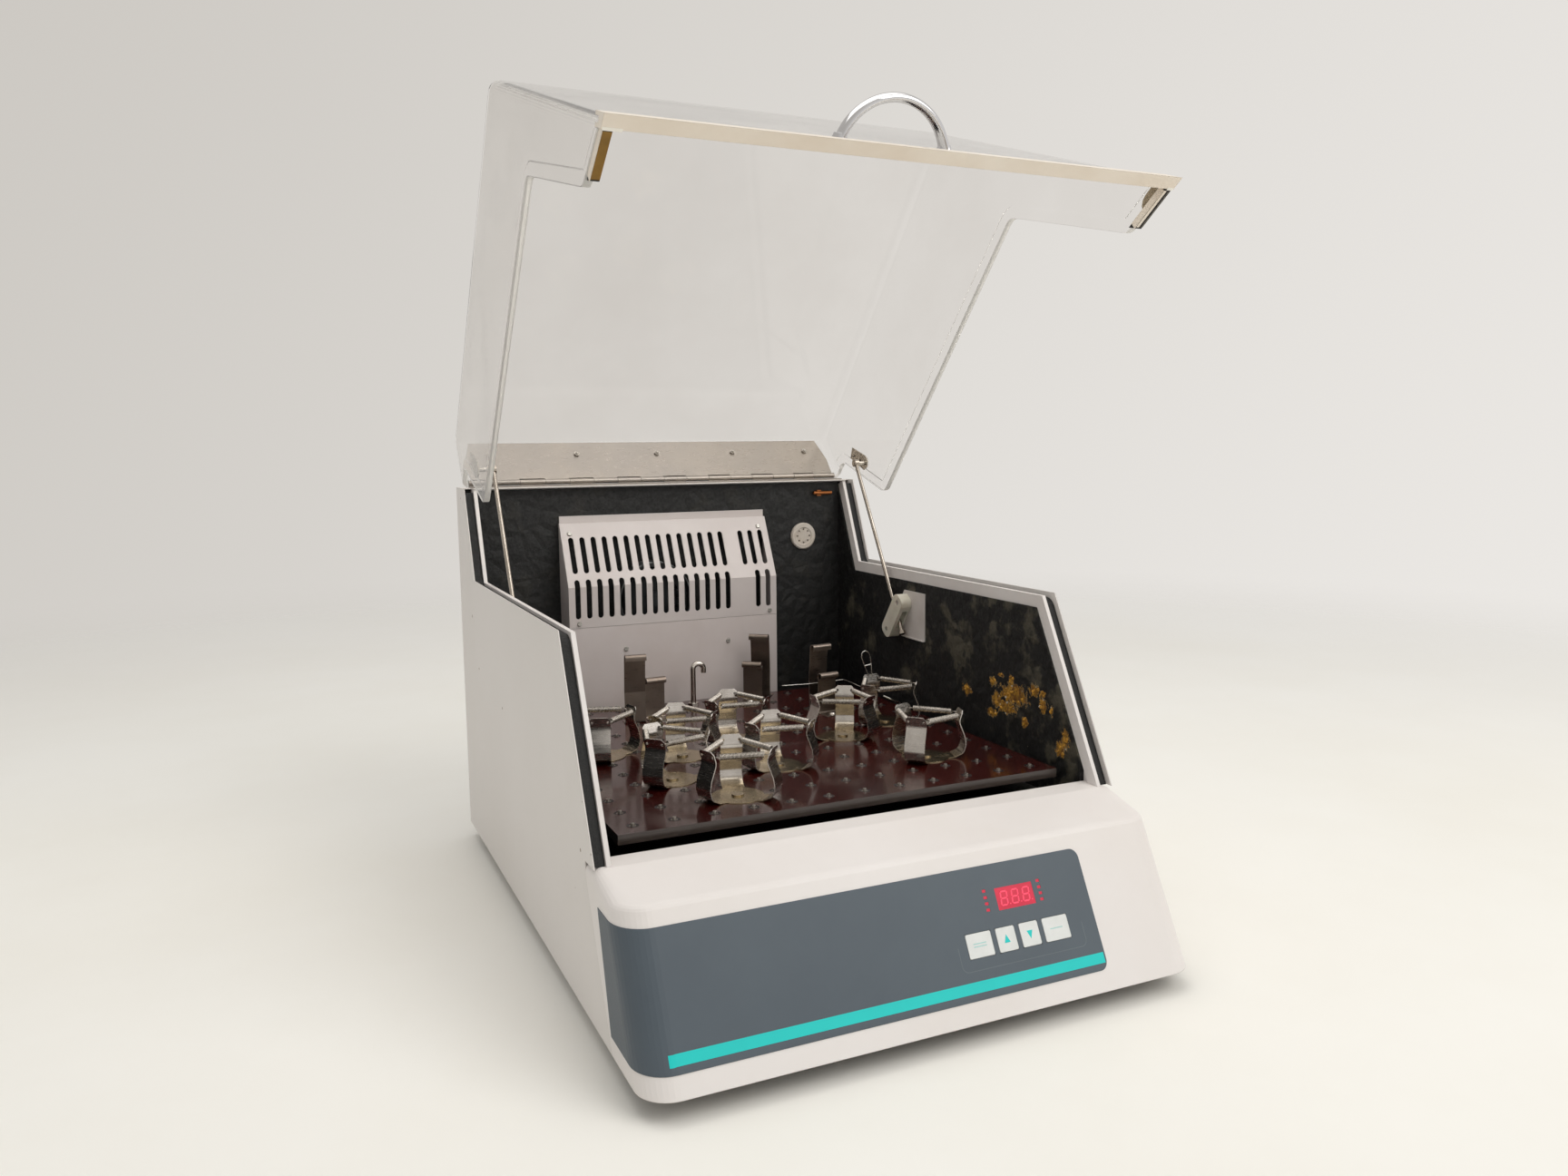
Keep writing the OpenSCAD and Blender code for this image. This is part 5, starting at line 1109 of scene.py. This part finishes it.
class SHAKER_OT_wire(ShakerOperator, bpy.types.Operator):
    """Add the loop of thin wire at the back right clamp"""

    bl_idname = "shaker.wire"
    bl_label = "Wire loop"

    def execute(self, context):
        steel = finish(
            "wire_steel", (206, 204, 198), drift=(60, 0.4), rough=(0.18, 0.3), metallic=1,
            grain=(500, 0.05), edge_r=0.1)[0]
        tab_top = Vector((172.7, 67.6, PLATFORM_TOP + CLAMP_H))
        loop = [tab_top + Vector(p) for p in (
            (-2.6, 0.2, -7), (-3.4, 0, -2.4), (-6.3, 0, 5.1), (-9, 0, 11.4), (-12.1, 0, 18.9),
            (-13, 0, 24.6), (-11.7, 0, 27.8), (-8.1, 0, 29.1), (-4, 0, 27.2), (-1.8, 0, 22.6),
            (-0.2, 0, 15.8), (0.3, 0, 9.1), (0.7, 0, 0.1), (2.2, 0.2, -4), (2.6, 0.3, -7))]
        bar = [tab_top + Vector(p) for p in ((-9.4, -0.2, 11.2), (-4.6, -0.3, 11.8),
                                             (-0.2, -0.2, 12.4))]
        tail = [Vector(p) for p in (
            (165, 67.4, 207), (161.3, 70, 201), (157, 86, 203), (154.3, 100, 204.1),
            (151.5, 106, 203.6), (116.6, 112, 201.4), (74.9, 112, 202.6))]
        rod = [Vector(p) for p in ((185.6, 60.6, 189.2), (200, 60, 182.4), (214.2, 60, 176.1))]
        parts = [tube(smooth_path(loop), 0.6), tube(smooth_path(bar), 0.75),
                 tube(smooth_path(tail), 0.5), tube(rod, 1.0)]
        add_piece("wire_loop", *joined(parts), PLATFORM, steel, "clamp_springs", smooth=True)
        return {"FINISHED"}


def smooth_path(points, steps=5):
    """A smooth line through the points."""
    path = []
    for i in range(len(points) - 1):
        before = points[max(i - 1, 0)]
        after = points[min(i + 2, len(points) - 1)]
        a, b = points[i], points[i + 1]
        for k in range(steps):
            t = k / steps
            path.append(0.5 * (2 * a + (b - before) * t
                               + (2 * before - 5 * a + 4 * b - after) * t * t
                               + (3 * a - before - 3 * b + after) * t ** 3))
    return path + [points[-1]]


class SHAKER_OT_lid(ShakerOperator, bpy.types.Operator):
    """Finish the clear lid, its trim, gasket and handle"""

    bl_idname = "shaker.lid"
    bl_label = "Lid"

    def execute(self, context):
        look = context.scene.shaker_lid
        dress(self.acrylic(look), "lid_shell")
        cream = coat(
            "lid_front_trim", "trim_cream", look.trim, tint=(226, 210, 190), drift=(12, 0.5),
            rough=(0.3, 0.42), grain=(600, 0.1), edge_r=0.8, edge_colour=(200, 180, 156),
            edge_share=0.4)
        coat(
            "lid_gasket", "gasket_foam", (20, 19, 18), tint=(58, 54, 50), drift=(60, 0.6),
            rough=(0.7, 0.9), grain=(500, 0.9), edge_r=0.5)
        coat(
            "lid_handle", "handle_chrome", look.chrome, tint=(190, 190, 194), drift=(20, 0.4),
            rough=(0.06, 0.14), metallic=1, grain=(200, 0.05), edge_r=0.5)
        coat(
            "lid_screws", "lid_screw_steel", (184, 178, 170), drift=(60, 0.6), rough=(0.22, 0.36),
            metallic=1, grain=(900, 0.1), edge_r=0.3)
        self.add_returns(look, cream)
        return {"FINISHED"}

    def acrylic(self, look):
        """Clear sheet with fine scratches, whose shadow stays pale."""
        material, tree, shader = new_material("clear_acrylic")
        shader.inputs["Metallic"].default_value = 0
        shader.inputs["Transmission Weight"].default_value = 1
        shader.inputs["IOR"].default_value = 1.2
        tone = effect(tree, "Tone Drift", Color=rgba(look.acrylic),
                      Tint=rgba(srgb(240, 238, 236)), Scale=5, Amount=0.6)
        tree.links.new(tone.outputs["Color"], shader.inputs["Base Color"])
        fine = effect(tree, "Grain", Stretch=(1, 1, 1), Scale=9, Detail=5)
        tree.links.new(ramp(tree, fine.outputs["Height"], 0.4, 0.75, 0.0, 0.07),
                       shader.inputs["Roughness"])
        edges = effect(tree, "Soft Edges", Radius=0.0015)
        lines = effect(tree, "Scratches", Scale=16, Amount=0.4)
        bump = add(tree, "ShaderNodeBump", {
            "Strength": 0.05, "Distance": 0.0002,
            "Height": math_node(tree, "SUBTRACT", fine.outputs["Height"],
                                lines.outputs["Mask"]),
            "Normal": edges.outputs["Normal"]})
        tree.links.new(bump.outputs[0], shader.inputs["Normal"])
        frost = add(tree, "ShaderNodeBsdfPrincipled", {
            "Base Color": rgba(srgb(246, 244, 240)), "Roughness": 0.5,
            "Transmission Weight": 0.25, "IOR": 1.1})
        sawn = add(tree, "ShaderNodeMixShader", {
            0: self.rim_mask(tree), 1: shader.outputs[0], 2: frost.outputs[0]})
        clear = add(tree, "ShaderNodeBsdfTransparent", {"Color": (0.94, 0.94, 0.93, 1)})
        ray = add(tree, "ShaderNodeLightPath")
        both = add(tree, "ShaderNodeMixShader", {
            0: ray.outputs["Is Shadow Ray"], 1: sawn.outputs[0], 2: clear.outputs[0]})
        tree.links.new(both.outputs[0], tree.nodes["Material Output"].inputs["Surface"])
        return material

    # the rims' nearest place to the middle, their height over the hinge and their frost
    RIM_X = 249
    RIM_RISE = 24
    RIM_FACING = 0.3
    RIM_FROST = 0.8

    def rim_mask(self, tree):
        """The sawn rims of the two side walls, where the sheet looks frosted."""
        turn = math.radians(LID_OPEN)
        up = Vector((0, math.sin(turn), math.cos(turn)))
        where = place_of(tree)
        true = add(tree, "ShaderNodeNewGeometry").outputs["True Normal"]
        own = add(tree, "ShaderNodeVectorTransform", {"Vector": true}, vector_type="NORMAL",
                  convert_from="WORLD", convert_to="OBJECT").outputs[0]
        across = math_node(tree, "ABSOLUTE", axis(tree, where, "X"))
        hinge_up = mm((0, HINGE.x, HINGE.y)).dot(up)
        return over_all(
            tree, "MULTIPLY",
            math_node(tree, "GREATER_THAN", dot(tree, own, -up), self.RIM_FACING),
            math_node(tree, "GREATER_THAN", across, self.RIM_X * 0.001),
            math_node(tree, "LESS_THAN", dot(tree, where, up), hinge_up + self.RIM_RISE * 0.001),
            self.RIM_FROST)

    # both returns' ends along the edge, and the faces of a layer on the black foam
    RETURN = (2, 44.6)
    ON_FOAM = (0.06, 0.28)

    def add_returns(self, look, cream):
        """What is left of the tape and glue on the two short returns."""
        tape = finish(
            "return_tape", look.tape, tint=(106, 82, 34), drift=(40, 0.7), rough=(0.4, 0.56),
            metallic=0.2, grain=(300, 0.3), edge_r=0.3, edge_colour=(196, 172, 130),
            edge_share=0.6)[0]
        near, far = self.RETURN
        strip = edge_strip(-256, -249, near, far, *self.ON_FOAM)
        add_piece("left_return_tape", *strip, LID, tape, "lid_gasket")
        pale = edge_strip(-256.6, -256.05, near - 2, far, 0.3, 6.9)
        add_piece("left_return_strip", *pale, LID, cream, "lid_front_trim")
        inner = edge_strip(248.4, 248.95, near - 2, far, 0.3, 6.9)
        lower = edge_strip(249, 252, near, far, *self.ON_FOAM)
        add_piece("right_return_strip", *joined([inner, lower]), LID, cream, "lid_front_trim")
        worn = finish(
            "worn_foam", (112, 106, 98), tint=(60, 56, 50), drift=(120, 0.8), rough=(0.6, 0.8),
            grain=(500, 0.6), edge_r=0.2)[0]
        seed = random.Random(12)
        inner_edge = [(254.2 + seed.uniform(-0.5, 0.5), near + i * 2.25) for i in range(19)]
        ragged = slab(inner_edge + [(256, far), (256, near)], under_lid, *self.ON_FOAM)
        add_piece("right_return_wear", *ragged, LID, worn, "lid_gasket")
        glue = finish(
            "old_glue", look.residue, tint=(160, 140, 110), drift=(50, 0.7), rough=(0.42, 0.6),
            grain=(400, 0.3), edge_r=0.2)[0]
        patch = [(2, 7.3), (7, 9), (14, 9.6), (15, 13), (19, 16.4), (24, 17.6), (44, 18), (44, 7.3)]
        residue = slab(patch, lambda u, w, x: under_lid(x, u, w), 252.5, 252.9)
        add_piece("right_glue_patch", *residue, LID, glue, "lid_gasket")
        caps = [edge_strip(x0, x1, 45.4, 48.4, *self.ON_FOAM)
                for x0, x1 in ((-257, -242), (251, 257))]
        shine = finish(
            "trim_end", (252, 248, 238), drift=(60, 0.3), rough=(0.3, 0.4), grain=(600, 0.05),
            edge_r=0.1)[0]
        add_piece("trim_end_caps", *joined(caps), LID, shine, "lid_front_trim")
        joint = slab([(8.2, -1), (8.9, -1), (8.9, 6), (8.2, 6)],
                     lambda x, s, out: on_front_sheet(x, s + 4, out), 3.0, 3.08)
        seam = finish(
            "trim_joint", (150, 136, 118), drift=(60, 0.4), rough=(0.5, 0.6), grain=(500, 0.1),
            edge_r=0.1)[0]
        add_piece("trim_joint", *joint, LID, seam, "lid_front_trim")


class SHAKER_OT_hinge(ShakerOperator, bpy.types.Operator):
    """Finish the long hinge and its pin"""

    bl_idname = "shaker.hinge"
    bl_label = "Hinge"

    def execute(self, context):
        look = context.scene.shaker_lid
        coat(
            "hinge_lid_leaf hinge_body_leaf", "leaf_steel", look.leaf, tint=(168, 158, 146),
            drift=(7, 0.6), rough=(0.26, 0.38), metallic=1, grain=(70, 0.15), stretch=(1, 14, 14),
            edge_r=0.4, edge_colour=(222, 218, 210), edge_share=0.5,
            specks=((110, 96, 80), 90, 0.07, 0.06), scratch=0.4)
        coat(
            "hinge_pin", "pin_steel", (170, 166, 160), drift=(30, 0.4), rough=(0.2, 0.3),
            metallic=1, grain=(300, 0.1), edge_r=0.2)
        return {"FINISHED"}


class SHAKER_OT_stays(ShakerOperator, bpy.types.Operator):
    """Finish the lid stays, their brackets, guides and plates"""

    bl_idname = "shaker.stays"
    bl_label = "Lid stays"

    def execute(self, context):
        coat(
            "stay_lid_brackets", "bracket_steel", (196, 190, 180), tint=(140, 128, 114),
            drift=(50, 0.7), rough=(0.2, 0.34), metallic=1, grain=(200, 0.15), edge_r=0.4)
        coat(
            "stay_rod_left stay_rod_right", "rod_steel", (188, 180, 170), tint=(120, 108, 94),
            drift=(26, 0.6), rough=(0.14, 0.26), metallic=1, grain=(120, 0.15), stretch=(8, 1, 1),
            edge_r=0.3)
        coat(
            "stay_guides", "guide_nylon", (214, 208, 194), tint=(186, 176, 158), drift=(40, 0.6),
            rough=(0.4, 0.52), grain=(700, 0.15), edge_r=0.8, edge_colour=(150, 138, 118),
            edge_share=0.4, Subsurface_Weight=0.1)
        coat(
            "stay_wall_plates", "plate_white", (206, 200, 196), tint=(178, 168, 160),
            drift=(30, 0.5), rough=(0.34, 0.46), grain=(700, 0.12), edge_r=0.4,
            edge_colour=(236, 232, 226), edge_share=0.7)
        return {"FINISHED"}


class SHAKER_OT_stage(ShakerOperator, bpy.types.Operator):
    """Set the pale floor, the soft lights, the surroundings and the camera"""

    bl_idname = "shaker.stage"
    bl_label = "Stage"

    # the camera, found from the photograph: place in mm, angles in degrees
    EYE = (-495.0, -1135.5, 495.7)
    AZIMUTH = 24.696
    ELEVATION = -7.2528
    ROLL = -0.4731
    LENS = 26.6575

    def execute(self, context):
        look = context.scene.shaker_stage
        self.add_floor(look)
        self.set_world(context, look)
        self.add_light("key_light", (1.5, -2.1, 2.5), 2.4, look.key_power)
        self.add_light("top_light", (-0.2, 0.2, 3.2), 2.8, look.top_power)
        self.set_camera(context)
        view = context.scene.view_settings
        view.view_transform = "Standard"
        return {"FINISHED"}

    def add_floor(self, look):
        material, tree, shader = new_material("pale_floor")
        shader.inputs["Roughness"].default_value = 0.75
        tone = effect(tree, "Tone Drift", Color=rgba(look.floor),
                      Tint=rgba(srgb(240, 236, 226)), Scale=1.5, Amount=0.5)
        marks = effect(tree, "Specks", Color=tone.outputs["Color"],
                       Speck_Color=rgba(srgb(222, 214, 200)), Scale=9, Size=0.03, Share=0.2)
        tree.links.new(marks.outputs["Color"], shader.inputs["Base Color"])
        away = add(tree, "ShaderNodeVectorMath", {0: place_of(tree)}, operation="LENGTH")
        fade = add(tree, "ShaderNodeMapRange", {
            "Value": away.outputs["Value"], "From Min": 0.9, "From Max": 3.4},
            interpolation_type="SMOOTHSTEP").outputs["Result"]
        clear = add(tree, "ShaderNodeBsdfTransparent")
        both = add(tree, "ShaderNodeMixShader", {
            0: math_node(tree, "MULTIPLY", fade, seen_directly(tree)),
            1: shader.outputs[0], 2: clear.outputs[0]})
        tree.links.new(both.outputs[0], tree.nodes["Material Output"].inputs["Surface"])
        count, reach = 64, 6.0
        points = [(reach * math.cos(2 * math.pi * k / count),
                   reach * math.sin(2 * math.pi * k / count), 0) for k in range(count)]
        mesh = bpy.data.meshes.new("floor")
        mesh.from_pydata(points, [], [tuple(range(count))])
        mesh.materials.append(material)
        new_object("floor", mesh)

    def set_world(self, context, look):
        """Even light from all round; what the camera sees is a slow pale gradient."""
        world = bpy.data.worlds.new("studio")
        context.scene.world = world
        world.use_nodes = True
        tree = world.node_tree
        tree.nodes.clear()
        heading = add(tree, "ShaderNodeTexCoord").outputs["Generated"]
        side = add(tree, "ShaderNodeVectorMath", {
            0: heading, 1: (0.8, -0.3, -0.5)}, operation="DOT_PRODUCT").outputs["Value"]
        share = ramp(tree, side, -0.6, 0.7)
        pale = mix_colour(tree, share, rgba(srgb(203, 199, 193)), rgba(srgb(238, 235, 231)))
        backdrop = add(tree, "ShaderNodeBackground", {"Color": pale, "Strength": 1.0})
        light = add(tree, "ShaderNodeBackground", {
            "Color": (1.0, 0.99, 0.97, 1), "Strength": look.ambient})
        both = add(tree, "ShaderNodeMixShader", {
            0: seen_directly(tree), 1: light.outputs[0], 2: backdrop.outputs[0]})
        out = add(tree, "ShaderNodeOutputWorld")
        tree.links.new(both.outputs[0], out.inputs["Surface"])

    def add_light(self, name, place, size, power):
        lamp = bpy.data.lights.new(name, "AREA")
        lamp.shape = "SQUARE"
        lamp.size = size
        lamp.energy = power
        lamp.color = (1.0, 0.985, 0.96)
        holder = new_object(name, lamp)
        holder.location = place
        aim = Vector((0, 0, 0.25)) - Vector(place)
        holder.rotation_euler = aim.to_track_quat("-Z", "Y").to_euler()

    def set_camera(self, context):
        azimuth, elevation = math.radians(self.AZIMUTH), math.radians(self.ELEVATION)
        forward = Vector((math.sin(azimuth) * math.cos(elevation),
                          math.cos(azimuth) * math.cos(elevation), math.sin(elevation)))
        right = forward.cross(Vector((0, 0, 1))).normalized()
        up = right.cross(forward)
        roll = math.radians(self.ROLL)
        side = right * math.cos(roll) + up * math.sin(roll)
        top = up * math.cos(roll) - right * math.sin(roll)
        lens = bpy.data.cameras.new("photo_view")
        lens.sensor_fit = "HORIZONTAL"
        lens.sensor_width = 36
        lens.lens = self.LENS
        lens.clip_start = 0.01
        camera = new_object("photo_view", lens)
        camera.matrix_world = Matrix.Translation(mm(self.EYE)) @ Matrix(
            (side, top, -forward)).transposed().to_4x4()
        context.scene.camera = camera


OPERATORS = (SHAKER_OT_stage, SHAKER_OT_cabinet, SHAKER_OT_control_panel, SHAKER_OT_chamber,
             SHAKER_OT_blower, SHAKER_OT_drive, SHAKER_OT_electrics, SHAKER_OT_platform,
             SHAKER_OT_clamps, SHAKER_OT_springs, SHAKER_OT_wire, SHAKER_OT_lid,
             SHAKER_OT_hinge, SHAKER_OT_stays)


class SHAKER_PT_sidebar(bpy.types.Panel):
    """The shaker's settings, and a button for each of its pieces"""

    bl_idname = "SHAKER_PT_sidebar"
    bl_label = "Benchtop shaker"
    bl_space_type = "VIEW_3D"
    bl_region_type = "UI"
    bl_category = "Shaker"

    def draw(self, context):
        for pointer, kind in SETTINGS.items():
            box = self.layout.box()
            for setting in kind.__annotations__:
                box.prop(getattr(context.scene, pointer), setting)
        column = self.layout.column()
        for operator in OPERATORS:
            column.operator(operator.bl_idname)


def register():
    for pointer, kind in SETTINGS.items():
        bpy.utils.register_class(kind)
        setattr(bpy.types.Scene, pointer, bpy.props.PointerProperty(type=kind))
    for kind in OPERATORS + (SHAKER_PT_sidebar,):
        bpy.utils.register_class(kind)


def unregister():
    for kind in reversed(OPERATORS + (SHAKER_PT_sidebar,)):
        bpy.utils.unregister_class(kind)
    for pointer, kind in SETTINGS.items():
        delattr(bpy.types.Scene, pointer)
        bpy.utils.unregister_class(kind)


def main():
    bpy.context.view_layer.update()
    register()
    for build in (build_tone_drift, build_specks, build_soft_edges, build_grain,
                  build_scratches, build_patches):
        build()
    for operator in OPERATORS:
        group, name = operator.bl_idname.split(".")
        getattr(getattr(bpy.ops, group), name)()


if __name__ == "__main__":
    main()
